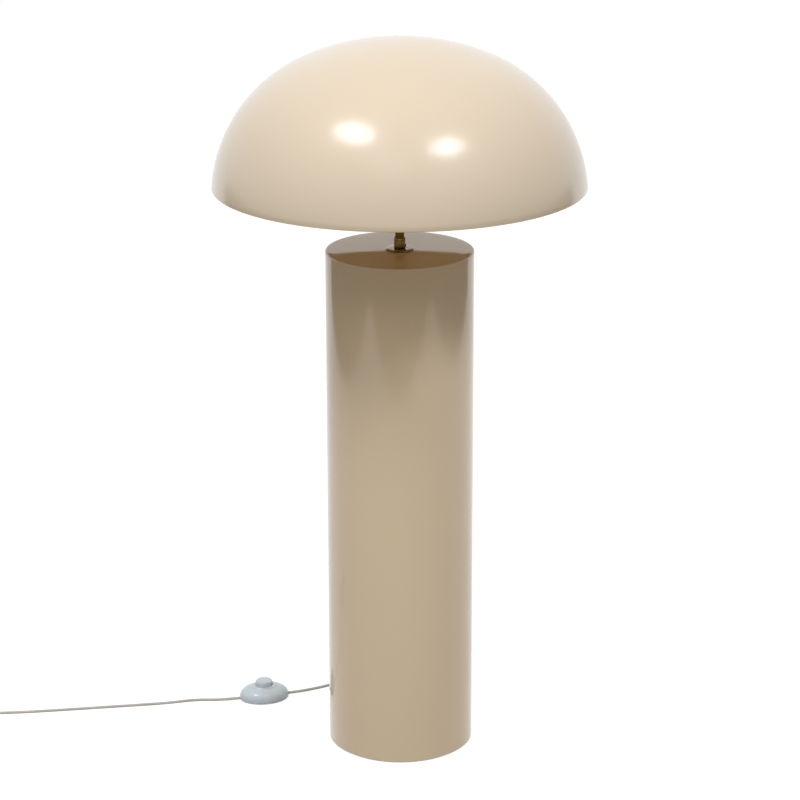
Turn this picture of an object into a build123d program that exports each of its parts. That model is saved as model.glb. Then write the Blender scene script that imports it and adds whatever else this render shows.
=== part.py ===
from build123d import *
import os
from math import acos, asin, atan2, ceil, cos, pi, radians, sin, sqrt, tan

# A floor lamp: a tall painted steel column with a wide spun dome on a short brass stem, and a
# foot switch on its flex. Millimetres. +Z is up, the origin lies on the floor in the middle of
# the base, +Y points to the back, where the flex comes out, and -Y to the viewer.

# ---- driving dimensions -----------------------------------------------------------------------
# column and base
column_radius = 100.0
column_wall = 1.2
column_height = 705.0
column_top_thickness = 1.5
column_edge_chamfer = 2.0
base_pad_inset = 3.5
base_pad_thickness = 2.0
base_weight_clearance = 1.3
base_weight_thickness = 16.0
base_fixings = 3
base_fixing_angle = 30.0
base_fixing_from_wall = 16.8
base_tab_width = 18.0
base_tab_length = 24.0
base_tab_height = 16.0
base_tab_thickness = 2.0
base_screw_radius = 2.5
base_screw_head_across_flats = 8.0
base_screw_head_height = 3.5
base_counterbore_radius = 7.0
base_screw_end = 4.0

# shade, a spun dome of two tangent arcs with a hemmed rim
shade_radius = 250.0
shade_height = 196.0
shade_wall = 1.2
shade_crown_arc_radius = 325.65
shade_side_lean = 4.53
shade_hem_height = 6.0
shade_hem_thickness = 1.2
shade_over_column = 87.5
shade_outer_chord_depth = 0.5
shade_inner_chord_depth = 1.7
shade_foot_band_margin = 2.0

# shade carrier
spider_arms = 3
spider_first_arm_angle = 90.0
spider_arm_width = 12.0
spider_thickness = 2.0
spider_foot_height = 14.0
spider_foot_thickness = 1.5
spider_hub_radius = 28.0
shade_ring_radius = 28.5
shade_ring_thickness = 6.0

# stem
stem_tube_radius = 6.15
stem_tube_wall = 1.05
stem_nipple_bore_radius = 3.9
stem_nipple_above_washer = 14.0
stem_nipple_below_nut = 5.0
stem_washer_radius = 18.8
stem_washer_thickness = 2.0
stem_collar_radius = 7.6
stem_collar_height = 15.0
set_screw_radius = 2.0
set_screw_height = 3.7
set_screw_proud = 1.2
stem_nut_across_flats = 16.0
stem_nut_thickness = 4.0

# lampholder and bulb (standard 27 mm screw)
holder_above_rim = 1.0
holder_neck_radius = 9.0
holder_neck_height = 4.0
holder_radius = 19.6
holder_chamfer = 3.0
holder_cap_height = 22.0
holder_wall = 1.8
holder_sleeve_height = 28.0
holder_sleeve_bore_radius = 15.6
holder_lip_radius = 21.0
holder_lip_thickness = 2.5
holder_nipple_length = 16.0
insert_radius = 16.8
insert_thickness = 9.0
insert_core_radius = 6.0
screw_shell_radius = 14.6
screw_shell_wall = 0.5
screw_shell_height = 22.0
contact_width = 6.0
contact_length = 20.0
contact_thickness = 0.8
contact_rise = 2.2
bulb_cap_radius = 13.2
bulb_cap_height = 26.0
bulb_tip_radius = 5.0
bulb_tip_height = 2.4
bulb_neck_radius = 14.6
bulb_neck_height = 8.0
bulb_radius = 18.5
bulb_length = 112.0
bulb_edge = 4.0

# flex, a flat twin lead
flex_width = 5.4
flex_thickness = 2.7
flex_floor_gap = 0.05
flex_outside_switch = 48.0
bush_height = 28.0
bush_shank_radius = 5.0
bush_flange_radius = 7.5
bush_flange_thickness = 2.0
bush_boot_length = 22.0
bush_boot_radius = 4.6
bush_boot_end_radius = 3.6
bush_boot_rings = 4
bush_nut_across_flats = 15.0
bush_nut_thickness = 4.0
coil_half_turns = 8
coil_start_radius = 39.0
coil_turn_gap = 0.5
coil_layer_gap = 0.45
coil_rise_radius = 30.0

# foot switch
switch_centre = (-198.6, 125.0)
switch_turn = 15.0
switch_half_length = 35.8
switch_half_width = 28.2
switch_height = 20.5
switch_wall = 1.8
switch_seam_height = 3.2
switch_profile_power = 0.8
switch_profile_steps = 5
switch_hub_radius = 14.0
switch_floor_thickness = 1.8
pocket_length = 53.4
pocket_width = 22.0
pocket_top = 13.5
button_radius = 12.0
button_top = 28.0
button_edge = 1.2
button_wall = 1.6
button_flange_radius = 13.6
button_flange_thickness = 1.4
button_boss_radius = 3.6
module_length = 26.0
module_width = 18.0
module_height = 11.0
terminal_length = 7.0
terminal_width = 9.0
terminal_height = 7.0
flex_grip_length = 5.0
flex_grip_width = 12.0
flex_grip_height = 6.0
flex_grip_place = 24.0
switch_screw_place = 24.2
switch_screw_radius = 1.5
switch_screw_head_radius = 2.8
switch_screw_head_height = 1.2
switch_screw_length = 9.0

# flat two-pin plug
plug_width = 35.3
plug_thickness = 13.7
plug_shoulder_length = 12.0
plug_waist_width = 17.0
plug_neck_length = 6.0
plug_waist_length = 16.0
plug_tail_length = 20.0
plug_tail_width = 7.0
plug_tail_thickness = 4.6
pin_radius = 2.0
pin_core_radius = 1.6
pin_length = 19.0
pin_spacing = 18.6
pin_depth = 6.0
pin_sleeve_length = 10.0

# clearances
weld_gap = 0.1
slip_gap = 0.1
hole_gap = 0.3
moving_gap = 0.3
turning_gap = 0.08

# ---- levels that follow from the sizes above ---------------------------------------------------
column_bottom = base_pad_thickness
column_top = column_bottom + column_height
column_bore_radius = column_radius - column_wall
base_pad_radius = column_radius - base_pad_inset
base_weight_radius = column_bore_radius - base_weight_clearance
base_fixing_radius = column_bore_radius - base_fixing_from_wall
weight_top = column_bottom + base_weight_thickness
tab_top = weight_top + base_tab_thickness
top_underside = column_top - column_top_thickness
rim_level = column_top + shade_over_column
crown_level = rim_level + shade_height
washer_top = column_top + stem_washer_thickness
tube_bore_radius = stem_tube_radius - stem_tube_wall
nipple_radius = tube_bore_radius - turning_gap
stem_nut_bottom = top_underside - stem_nut_thickness
holder_bottom = rim_level + holder_above_rim
holder_seam = holder_bottom + holder_cap_height
holder_top = holder_seam + holder_sleeve_height
flex_level = flex_thickness / 2 + flex_floor_gap

# dome of the shade: the side arc leans in from the rim and runs on into the crown arc, which
# closes it on the axis
lean = radians(shade_side_lean)
crown_centre_z = crown_level - shade_crown_arc_radius
shade_side_arc_radius = (
    2 * shade_height * shade_crown_arc_radius - shade_height**2 - shade_radius**2
) / (
    2 * (shade_crown_arc_radius - shade_radius * cos(lean))
    - 2 * (shade_crown_arc_radius - shade_height) * sin(lean)
)
side_centre_x = shade_radius - shade_side_arc_radius * cos(lean)
side_centre_z = rim_level - shade_side_arc_radius * sin(lean)
arc_join = atan2(side_centre_z - crown_centre_z, side_centre_x)


def dome_radius(level, inset):
    """Radius of the shade's side at a level, inset from the outer face."""
    reach = shade_side_arc_radius - inset
    return side_centre_x + sqrt(reach**2 - (level - side_centre_z) ** 2)


def chord_angles(first, last, arc_radius, depth):
    """Even angles from first up to last, so that no chord lies deeper than depth in its arc."""
    steps = ceil((last - first) / (2 * acos(1 - depth / arc_radius)))
    return [first + (last - first) * step / steps for step in range(steps)]


def dome_points(inset, start_level, depth):
    """Points up the dome at an inset, on the side arc, then on the crown arc to the axis."""
    side = shade_side_arc_radius - inset
    crown = shade_crown_arc_radius - inset
    start = asin((start_level - side_centre_z) / side)
    return [
        *(
            (side_centre_x + side * cos(angle), side_centre_z + side * sin(angle))
            for angle in chord_angles(start, arc_join, side, depth)
        ),
        *(
            (crown * cos(angle), crown_centre_z + crown * sin(angle))
            for angle in chord_angles(arc_join, pi / 2, crown, depth)
        ),
        (0, crown_centre_z + crown),
    ]


os.makedirs("parts", exist_ok=True)

# ---- column ------------------------------------------------------------------------------------
# rolled tube with its welded and ground top, open at the foot, with a hole for the stem and one
# for the flex
with BuildPart() as column_shell:
    with BuildSketch(Plane.XY.offset(column_bottom)):
        Circle(column_radius)
    extrude(amount=column_height)
    chamfer(column_shell.edges().group_by(Axis.Z)[-1], column_edge_chamfer)
    with BuildSketch(Plane.XY.offset(column_bottom)):
        Circle(column_bore_radius)
    extrude(amount=column_height - column_top_thickness, mode=Mode.SUBTRACT)
    with BuildSketch(Plane.XY.offset(top_underside)):
        Circle(nipple_radius + hole_gap)
    extrude(amount=column_top_thickness, mode=Mode.SUBTRACT)
    with Locations(Plane((0, column_radius, bush_height), z_dir=(0, 1, 0))):
        Hole(bush_shank_radius + hole_gap, depth=column_radius / 4)
column_shell.part.label = "column_shell"
export_step(column_shell.part, "parts/column_shell.step")

# ---- base --------------------------------------------------------------------------------------
with BuildPart() as base_pad:
    with BuildSketch():
        Circle(base_pad_radius)
    extrude(amount=base_pad_thickness)
base_pad.part.label = "base_pad"
export_step(base_pad.part, "parts/base_pad.step")

# steel disc that closes the foot, with counterbored holes from below
with BuildPart() as base_weight:
    with BuildSketch(Plane.XY.offset(column_bottom)):
        Circle(base_weight_radius)
        with PolarLocations(base_fixing_radius, base_fixings, base_fixing_angle):
            Circle(base_screw_radius + hole_gap, mode=Mode.SUBTRACT)
    extrude(amount=base_weight_thickness)
    with BuildSketch(Plane.XY.offset(column_bottom)):
        with PolarLocations(base_fixing_radius, base_fixings, base_fixing_angle):
            Circle(base_counterbore_radius)
    extrude(amount=base_screw_head_height + hole_gap, mode=Mode.SUBTRACT)
base_weight.part.label = "base_weight"
export_step(base_weight.part, "parts/base_weight.step")

# three angle tabs welded to the column's inside, over the weight
tab_wall_place = sqrt(column_bore_radius**2 - (base_tab_width / 2) ** 2) - weld_gap
with BuildPart() as base_tabs:
    with BuildSketch(Plane.XY.offset(weight_top)):
        with PolarLocations(
            tab_wall_place - base_tab_length / 2, base_fixings, base_fixing_angle
        ):
            Rectangle(base_tab_length, base_tab_width)
        with PolarLocations(base_fixing_radius, base_fixings, base_fixing_angle):
            Circle(base_screw_radius + slip_gap, mode=Mode.SUBTRACT)
    extrude(amount=base_tab_thickness)
    with BuildSketch(Plane.XY.offset(weight_top)):
        with PolarLocations(
            tab_wall_place - base_tab_thickness / 2, base_fixings, base_fixing_angle
        ):
            Rectangle(base_tab_thickness, base_tab_width)
    extrude(amount=base_tab_height)
base_tabs.part.label = "base_tabs"
export_step(base_tabs.part, "parts/base_tabs.step")

with BuildPart() as base_screws:
    with BuildSketch(Plane.XY.offset(column_bottom + hole_gap)):
        with PolarLocations(base_fixing_radius, base_fixings, base_fixing_angle):
            RegularPolygon(base_screw_head_across_flats / 2, 6, major_radius=False)
    extrude(amount=base_screw_head_height)
    with BuildSketch(Plane.XY.offset(column_bottom + hole_gap + base_screw_head_height)):
        with PolarLocations(base_fixing_radius, base_fixings, base_fixing_angle):
            Circle(base_screw_radius)
    extrude(amount=tab_top + base_screw_end - column_bottom - base_screw_head_height)
base_screws.part.label = "base_screws"
export_step(base_screws.part, "parts/base_screws.step")

# ---- stem --------------------------------------------------------------------------------------
with BuildPart() as stem_washer:
    with BuildSketch(Plane.XY.offset(column_top)):
        Circle(stem_washer_radius)
        Circle(nipple_radius + slip_gap, mode=Mode.SUBTRACT)
    extrude(amount=stem_washer_thickness)
stem_washer.part.label = "stem_washer"
export_step(stem_washer.part, "parts/stem_washer.step")

with BuildPart() as stem_nipple:
    with BuildSketch(Plane.XY.offset(stem_nut_bottom - stem_nipple_below_nut)):
        Circle(nipple_radius)
        Circle(stem_nipple_bore_radius, mode=Mode.SUBTRACT)
    extrude(
        amount=washer_top + stem_nipple_above_washer - stem_nut_bottom + stem_nipple_below_nut
    )
stem_nipple.part.label = "stem_nipple"
export_step(stem_nipple.part, "parts/stem_nipple.step")

with BuildPart() as stem_nut:
    with BuildSketch(Plane.XY.offset(stem_nut_bottom)):
        RegularPolygon(stem_nut_across_flats / 2, 6, major_radius=False)
        Circle(nipple_radius + slip_gap, mode=Mode.SUBTRACT)
    extrude(amount=stem_nut_thickness)
stem_nut.part.label = "stem_nut"
export_step(stem_nut.part, "parts/stem_nut.step")

# turned collar round the foot of the tube, with its cross hole for the set screw
collar_bore_radius = stem_tube_radius + turning_gap
set_screw_level = washer_top + set_screw_height
with BuildPart() as stem_collar:
    with BuildSketch(Plane.XY.offset(washer_top)):
        Circle(stem_collar_radius)
    extrude(amount=stem_collar_height)
    with BuildSketch(Plane.XY.offset(washer_top)):
        Circle(collar_bore_radius)
    extrude(amount=stem_collar_height, mode=Mode.SUBTRACT)
    with BuildSketch(Plane((0, 0, set_screw_level), z_dir=(1, 0, 0))):
        Circle(set_screw_radius + slip_gap)
    extrude(amount=stem_collar_radius, mode=Mode.SUBTRACT)
stem_collar.part.label = "stem_collar"
export_step(stem_collar.part, "parts/stem_collar.step")

set_screw_tip = collar_bore_radius
with BuildPart() as collar_set_screw:
    with BuildSketch(Plane((set_screw_tip, 0, set_screw_level), z_dir=(1, 0, 0))):
        Circle(set_screw_radius)
    extrude(amount=stem_collar_radius + set_screw_proud - set_screw_tip)
    with BuildSketch(
        Plane((stem_collar_radius + set_screw_proud, 0, set_screw_level), z_dir=(1, 0, 0))
    ):
        RegularPolygon(set_screw_radius / 2, 6)
    extrude(amount=-set_screw_proud, mode=Mode.SUBTRACT)
collar_set_screw.part.label = "collar_set_screw"
export_step(collar_set_screw.part, "parts/collar_set_screw.step")

with BuildPart() as stem_tube:
    with BuildSketch(Plane.XY.offset(washer_top)):
        Circle(stem_tube_radius)
        Circle(tube_bore_radius, mode=Mode.SUBTRACT)
    extrude(amount=holder_bottom - washer_top)
stem_tube.part.label = "stem_tube"
export_step(stem_tube.part, "parts/stem_tube.step")

# ---- lampholder --------------------------------------------------------------------------------
holder_floor = holder_bottom + holder_neck_height
holder_nipple_bottom = holder_floor + holder_wall - holder_nipple_length
with BuildPart() as holder_nipple:
    with BuildSketch(Plane.XY.offset(holder_nipple_bottom)):
        Circle(nipple_radius)
        Circle(stem_nipple_bore_radius, mode=Mode.SUBTRACT)
    extrude(amount=holder_nipple_length)
holder_nipple.part.label = "holder_nipple"
export_step(holder_nipple.part, "parts/holder_nipple.step")

# moulded cap: a neck for the nipple, a floor with a bevelled edge and a straight skirt
with BuildPart() as holder_cap:
    with BuildSketch(Plane.XZ):
        with BuildLine():
            Polyline(
                (nipple_radius + slip_gap, holder_bottom),
                (holder_neck_radius, holder_bottom),
                (holder_neck_radius, holder_floor),
                (holder_radius - holder_chamfer, holder_floor),
                (holder_radius, holder_floor + holder_chamfer),
                (holder_radius, holder_seam),
                (holder_radius - holder_wall, holder_seam),
                (holder_radius - holder_wall, holder_floor + holder_chamfer),
                (holder_radius - holder_chamfer, holder_floor + holder_wall),
                (nipple_radius + slip_gap, holder_floor + holder_wall),
                close=True,
            )
        make_face()
    revolve(axis=Axis.Z)
holder_cap.part.label = "holder_cap"
export_step(holder_cap.part, "parts/holder_cap.step")

# moulded sleeve: a lip that the lower shade ring lies on, and a skirt round the screw shell
with BuildPart() as holder_sleeve:
    with BuildSketch(Plane.XY.offset(holder_seam)):
        Circle(holder_lip_radius)
    extrude(amount=holder_lip_thickness)
    with BuildSketch(Plane.XY.offset(holder_seam)):
        Circle(holder_radius)
    extrude(amount=holder_sleeve_height)
    with BuildSketch(Plane.XY.offset(holder_seam)):
        Circle(holder_sleeve_bore_radius)
    extrude(amount=holder_sleeve_height, mode=Mode.SUBTRACT)
holder_sleeve.part.label = "holder_sleeve"
export_step(holder_sleeve.part, "parts/holder_sleeve.step")

# ceramic insert in the cap, with an open middle for the conductors
insert_bottom = holder_seam - insert_thickness
with BuildPart() as holder_insert:
    with BuildSketch(Plane.XY.offset(insert_bottom)):
        Circle(insert_radius)
        Circle(insert_core_radius, mode=Mode.SUBTRACT)
    extrude(amount=insert_thickness)
holder_insert.part.label = "holder_insert"
export_step(holder_insert.part, "parts/holder_insert.step")

with BuildPart() as screw_shell:
    with BuildSketch(Plane.XY.offset(holder_seam)):
        Circle(screw_shell_radius)
        Circle(screw_shell_radius - screw_shell_wall, mode=Mode.SUBTRACT)
    extrude(amount=screw_shell_height)
screw_shell.part.label = "screw_shell"
export_step(screw_shell.part, "parts/screw_shell.step")

# spring blade over the insert's open middle, cranked up to the bulb's tip
with BuildPart() as centre_contact:
    with BuildSketch(Plane.XZ.offset(-contact_width / 2)):
        with BuildLine():
            Polyline(
                (-contact_length / 2, holder_seam),
                (-contact_length / 4, holder_seam),
                (0, holder_seam + contact_rise - contact_thickness),
                (contact_length / 2, holder_seam + contact_rise - contact_thickness),
                (contact_length / 2, holder_seam + contact_rise),
                (-contact_thickness / 2, holder_seam + contact_rise),
                (-contact_length / 4 - contact_thickness / 2, holder_seam + contact_thickness),
                (-contact_length / 2, holder_seam + contact_thickness),
                close=True,
            )
        make_face()
    extrude(amount=contact_width)
centre_contact.part.label = "centre_contact"
export_step(centre_contact.part, "parts/centre_contact.step")

# ---- bulb --------------------------------------------------------------------------------------
bulb_bottom = holder_seam + contact_rise
bulb_cap_bottom = bulb_bottom + bulb_tip_height
bulb_glass_bottom = bulb_cap_bottom + bulb_cap_height
with BuildPart() as bulb_cap:
    with BuildSketch(Plane.XY.offset(bulb_cap_bottom)):
        Circle(bulb_cap_radius)
    extrude(amount=bulb_cap_height)
    with BuildSketch(Plane.XY.offset(bulb_bottom)):
        Circle(bulb_tip_radius)
    extrude(amount=bulb_tip_height)
bulb_cap.part.label = "bulb_cap"
export_step(bulb_cap.part, "parts/bulb_cap.step")

# stick-shaped envelope: a neck, a flare and a straight side with a bevelled end
bulb_top = bulb_bottom + bulb_length
neck_top = bulb_glass_bottom + bulb_neck_height
with BuildPart() as bulb_glass:
    with BuildSketch(Plane.XZ):
        with BuildLine():
            Polyline(
                (0, bulb_glass_bottom),
                (bulb_neck_radius, bulb_glass_bottom),
                (bulb_neck_radius, neck_top),
                (bulb_radius, neck_top + bulb_edge),
                (bulb_radius, bulb_top - bulb_edge),
                (bulb_radius - bulb_edge, bulb_top),
                (0, bulb_top),
                close=True,
            )
        make_face()
    revolve(axis=Axis.Z)
bulb_glass.part.label = "bulb_glass"
export_step(bulb_glass.part, "parts/bulb_glass.step")

# ---- shade and its carrier ---------------------------------------------------------------------
spider_bottom = holder_seam + holder_lip_thickness + shade_ring_thickness
spider_top = spider_bottom + spider_thickness
foot_top = spider_bottom + spider_foot_height
foot_band_top = foot_top + shade_foot_band_margin
hem_top = rim_level + shade_hem_height
hem_inset = shade_wall + shade_hem_thickness
with BuildPart() as shade:
    with BuildSketch(Plane.XZ):
        with BuildLine():
            Polyline(
                *dome_points(0, rim_level, shade_outer_chord_depth),
                *reversed(dome_points(shade_wall, foot_band_top, shade_inner_chord_depth)),
                (dome_radius(hem_top, shade_wall), hem_top),
                (dome_radius(hem_top, hem_inset), hem_top),
                (dome_radius(rim_level, hem_inset), rim_level),
                close=True,
            )
        make_face()
    revolve(axis=Axis.Z)
shade.part.label = "shade"
export_step(shade.part, "parts/shade.step")

ring_bore_radius = holder_radius + slip_gap
ring_levels = {
    "shade_ring_lower": spider_bottom - shade_ring_thickness,
    "shade_ring_upper": spider_top,
}
for ring_name, ring_level in ring_levels.items():
    with BuildPart() as shade_ring:
        with BuildSketch(Plane.XY.offset(ring_level)):
            Circle(shade_ring_radius)
            Circle(ring_bore_radius, mode=Mode.SUBTRACT)
        extrude(amount=shade_ring_thickness)
    shade_ring.part.label = ring_name
    export_step(shade_ring.part, f"parts/{ring_name}.step")

# three flat arms from a hub ring to curved feet that are welded to the shade's inside
band_low_radius = dome_radius(hem_top, shade_wall)
band_high_radius = dome_radius(foot_band_top, shade_wall)


def foot_radius(level, inset):
    """Radius on the dome's straight lowest inner band at a level, inset from the band."""
    share = (level - hem_top) / (foot_band_top - hem_top)
    return band_low_radius + (band_high_radius - band_low_radius) * share - inset


foot_back = weld_gap + spider_foot_thickness
arm_reach = sqrt(
    (foot_radius(spider_top, weld_gap) - spider_foot_thickness / 2) ** 2
    - (spider_arm_width / 2) ** 2
)
with BuildPart() as shade_spider:
    with BuildSketch(Plane.XZ):
        with BuildLine():
            inner_edge = Line(
                (foot_radius(spider_bottom, foot_back), spider_bottom),
                (foot_radius(foot_top, foot_back), foot_top),
            )
            outer_edge = Line(
                (foot_radius(spider_bottom, weld_gap), spider_bottom),
                (foot_radius(foot_top, weld_gap), foot_top),
            )
            Line(inner_edge @ 0, outer_edge @ 0)
            Line(inner_edge @ 1, outer_edge @ 1)
        make_face()
    revolve(axis=Axis.Z)
    with BuildSketch(Plane.XY.offset(spider_bottom)):
        with PolarLocations(shade_radius / 2, spider_arms, spider_first_arm_angle):
            Rectangle(shade_radius, spider_arm_width)
    extrude(amount=spider_foot_height, mode=Mode.INTERSECT)
    with BuildSketch(Plane.XY.offset(spider_bottom)):
        Circle(spider_hub_radius)
        with PolarLocations(arm_reach / 2, spider_arms, spider_first_arm_angle):
            Rectangle(arm_reach, spider_arm_width)
        Circle(holder_radius + hole_gap, mode=Mode.SUBTRACT)
    extrude(amount=spider_thickness)
shade_spider.part.label = "shade_spider"
export_step(shade_spider.part, "parts/shade_spider.step")


# ---- flex --------------------------------------------------------------------------------------
def bend_radii(points):
    """Largest sensible arc at each inner point of a route: 0.45 of the shorter run."""
    radii = []
    for before, corner, after in zip(points, points[1:], points[2:]):
        run_in = Vector(*corner) - Vector(*before)
        run_out = Vector(*after) - Vector(*corner)
        half_turn = radians(run_in.get_angle(run_out)) / 2
        radii.append(0.45 * min(run_in.length, run_out.length) / tan(half_turn))
    return radii


def report_route(name, points, path_length, volume):
    """Print a stretch's arcs and compare its volume with its section times its length."""
    section = flex_thickness * flex_width
    print(
        f"{name}: length {path_length:.1f}, arc radii",
        [round(radius, 1) for radius in bend_radii(points)],
        f"volume / (section x length) {volume / (section * path_length):.4f}",
    )


def back_plane(depth):
    """Plane on the flex's axis where it leaves the column, facing back at a depth."""
    return Plane((0, depth, bush_height), x_dir=(1, 0, 0), z_dir=(0, 1, 0))


boot_mouth = column_radius + bush_flange_thickness + bush_boot_length
with BuildPart() as flex_bush:
    shank_length = column_wall + bush_nut_thickness + 2 * hole_gap
    with BuildSketch(back_plane(column_radius)):
        Circle(bush_shank_radius)
    extrude(amount=-shank_length)
    with BuildSketch(back_plane(column_radius)):
        Circle(bush_flange_radius)
    extrude(amount=bush_flange_thickness)
    for ring in range(bush_boot_rings):
        reach = bush_boot_length * (ring + 1) / bush_boot_rings
        taper = (bush_boot_radius - bush_boot_end_radius) * ring / (bush_boot_rings - 1)
        with BuildSketch(back_plane(column_radius + bush_flange_thickness)):
            Circle(bush_boot_radius - taper)
        extrude(amount=reach)
    with BuildSketch(back_plane(boot_mouth)):
        Rectangle(flex_width + 2 * slip_gap, flex_thickness + 2 * slip_gap)
    extrude(
        amount=-(bush_boot_length + bush_flange_thickness + shank_length), mode=Mode.SUBTRACT
    )
flex_bush.part.label = "flex_bush"
export_step(flex_bush.part, "parts/flex_bush.step")

bush_nut_corner = bush_nut_across_flats / sqrt(3)
bush_nut_face = sqrt(column_bore_radius**2 - bush_nut_corner**2) - weld_gap
with BuildPart() as bush_nut:
    with BuildSketch(back_plane(bush_nut_face)):
        RegularPolygon(bush_nut_across_flats / 2, 6, major_radius=False)
        Circle(bush_shank_radius + slip_gap, mode=Mode.SUBTRACT)
    extrude(amount=-bush_nut_thickness)
bush_nut.part.label = "bush_nut"
export_step(bush_nut.part, "parts/bush_nut.step")

# inside the column: in from the boot's mouth, over the weight and up through the stem
inner_route = [
    (0, boot_mouth, bush_height),
    (0, 62, bush_height),
    (0, 24, 50),
    (0, 6, 96),
    (0, -5, 160),
    (0, 0, 240),
    (0, 0, holder_floor + holder_wall / 2),
]
with BuildPart() as flex_inner:
    with BuildLine() as inner_path:
        FilletPolyline(*inner_route, radius=bend_radii(inner_route))
    with BuildSketch(Plane((0, boot_mouth, bush_height), x_dir=(1, 0, 0), z_dir=(0, -1, 0))):
        Rectangle(flex_width, flex_thickness)
    sweep(path=inner_path.wire())
flex_inner.part.label = "flex_inner"
export_step(flex_inner.part, "parts/flex_inner.step")
report_route("flex_inner", inner_route, inner_path.wire().length, flex_inner.part.volume)

# foot switch frame: its long axis follows the flex
switch_x = (cos(radians(switch_turn)), sin(radians(switch_turn)), 0)
switch_floor = Plane((*switch_centre, 0), x_dir=switch_x, z_dir=(0, 0, 1))


def on_switch(along, level):
    """A point on the switch's long axis, at a level."""
    return tuple(switch_floor.from_local_coords(Vector(along, 0, level)))


flex_in_switch = module_length / 2 + terminal_length + slip_gap
lamp_side_route = [
    on_switch(flex_in_switch, switch_seam_height),
    on_switch(flex_outside_switch, switch_seam_height),
    (-122, 155, flex_level),
    (-92, 174, flex_level),
    (-66, 188, flex_level),
    (-37, 196, flex_level),
    (-14, 187, 5),
    (-3, 167, 17),
    (0, 146, bush_height),
    (0, boot_mouth, bush_height),
]
plug_side_route = [
    on_switch(-flex_in_switch, switch_seam_height),
    on_switch(-flex_outside_switch, switch_seam_height),
    (-268, 113.2, flex_level),
    (-299, 113.6, flex_level),
    (-338, 102.2, flex_level),
    (-385, 94.4, flex_level),
    (-440, 86.2, flex_level),
    (-500, 76.6, flex_level),
    (-560, 68.6, flex_level),
    (-626, 66.8, flex_level),
]


def route_plane(points):
    """Plane square to a route's first run, with its Y axis as near upright as can be."""
    heading = (Vector(*points[1]) - Vector(*points[0])).normalized()
    return Plane(points[0], x_dir=Vector(0, 0, 1).cross(heading), z_dir=heading)


with BuildPart() as flex_lamp_side:
    with BuildLine() as lamp_side_path:
        FilletPolyline(*lamp_side_route, radius=bend_radii(lamp_side_route))
    with BuildSketch(route_plane(lamp_side_route)):
        Rectangle(flex_width, flex_thickness)
    sweep(path=lamp_side_path.wire())
flex_lamp_side.part.label = "flex_lamp_side"
export_step(flex_lamp_side.part, "parts/flex_lamp_side.step")
report_route(
    "flex_lamp_side",
    lamp_side_route,
    lamp_side_path.wire().length,
    flex_lamp_side.part.volume,
)

with BuildPart() as flex_plug_side:
    with BuildLine() as plug_side_path:
        FilletPolyline(*plug_side_route, radius=bend_radii(plug_side_route))
    with BuildSketch(route_plane(plug_side_route)):
        Rectangle(flex_width, flex_thickness)
    sweep(path=plug_side_path.wire())
flex_plug_side.part.label = "flex_plug_side"
export_step(flex_plug_side.part, "parts/flex_plug_side.step")
report_route(
    "flex_plug_side",
    plug_side_route,
    plug_side_path.wire().length,
    flex_plug_side.part.volume,
)

# the length that is put away: half turns on both ends of short straight runs, so that the flat
# section stays level. They spiral in on the floor, climb a layer in one run where the spiral
# reverses, and spiral out on top, up to the plug.
coil_pitch = flex_width + coil_turn_gap
coil_layer_step = flex_thickness + coil_layer_gap
coil_inward = coil_half_turns // 2
plug_level = plug_thickness / 2
coil_heading = (Vector(*plug_side_route[-1]) - Vector(*plug_side_route[-2])).normalized()
coil_floor = Plane(plug_side_route[-1], x_dir=coil_heading, z_dir=(0, 0, 1))


def rise_run(rise):
    """Length along the floor of two equal and opposite bends that rise by a height."""
    return 2 * sqrt(rise * coil_rise_radius - rise**2 / 4)


def rise_points(start, heading, rise):
    """Ends and middles of the two bends of a rise, from a start along +X or -X."""
    angle = acos(1 - rise / 2 / coil_rise_radius)
    reach = heading * coil_rise_radius * sin(angle / 2)
    lift = coil_rise_radius * (1 - cos(angle / 2))
    middle = start + Vector(heading * rise_run(rise) / 2, 0, rise / 2)
    end = start + Vector(heading * rise_run(rise), 0, rise)
    return [
        (start, start + Vector(reach, 0, lift), middle),
        (middle, end - Vector(reach, 0, lift), end),
    ]


coil_near = flex_width
coil_far = coil_near + rise_run(coil_layer_step)
with BuildPart() as flex_coil:
    with BuildLine(coil_floor) as coil_path:
        Line((0, 0, 0), (coil_far, 0, 0))
        place = Vector(coil_far, 0, 0)
        for turn in range(coil_half_turns):
            inward_steps = turn if turn <= coil_inward else 2 * coil_inward + 1 - turn
            radius = coil_start_radius - inward_steps * coil_pitch / 2
            heading = 1 if turn % 2 == 0 else -1
            across = Vector(0, -2 * heading * radius, 0)
            bulge = place + across / 2 + Vector(heading * radius, 0, 0)
            ThreePointArc(tuple(place), tuple(bulge), tuple(place + across))
            place += across
            if turn == coil_inward:
                for bend in rise_points(place, -heading, coil_layer_step):
                    ThreePointArc(*(tuple(point) for point in bend))
                place = bend[-1]
            else:
                run_end = Vector(coil_near if heading == 1 else coil_far, place.Y, place.Z)
                Line(tuple(place), tuple(run_end))
                place = run_end
        for bend in rise_points(place, 1, plug_level - place.Z - flex_level):
            ThreePointArc(*(tuple(point) for point in bend))
        coil_end_local = bend[-1] + Vector(flex_width, 0, 0)
        Line(tuple(bend[-1]), tuple(coil_end_local))
    with BuildSketch(Plane(coil_floor.origin, x_dir=coil_floor.y_dir, z_dir=coil_floor.x_dir)):
        Rectangle(flex_width, flex_thickness)
    sweep(path=coil_path.wire())
flex_coil.part.label = "flex_coil"
export_step(flex_coil.part, "parts/flex_coil.step")
coil_length = coil_path.wire().length
print(
    f"flex_coil: length {coil_length:.1f}, volume / (section x length)",
    f"{flex_coil.part.volume / (flex_thickness * flex_width * coil_length):.4f}",
)

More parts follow.
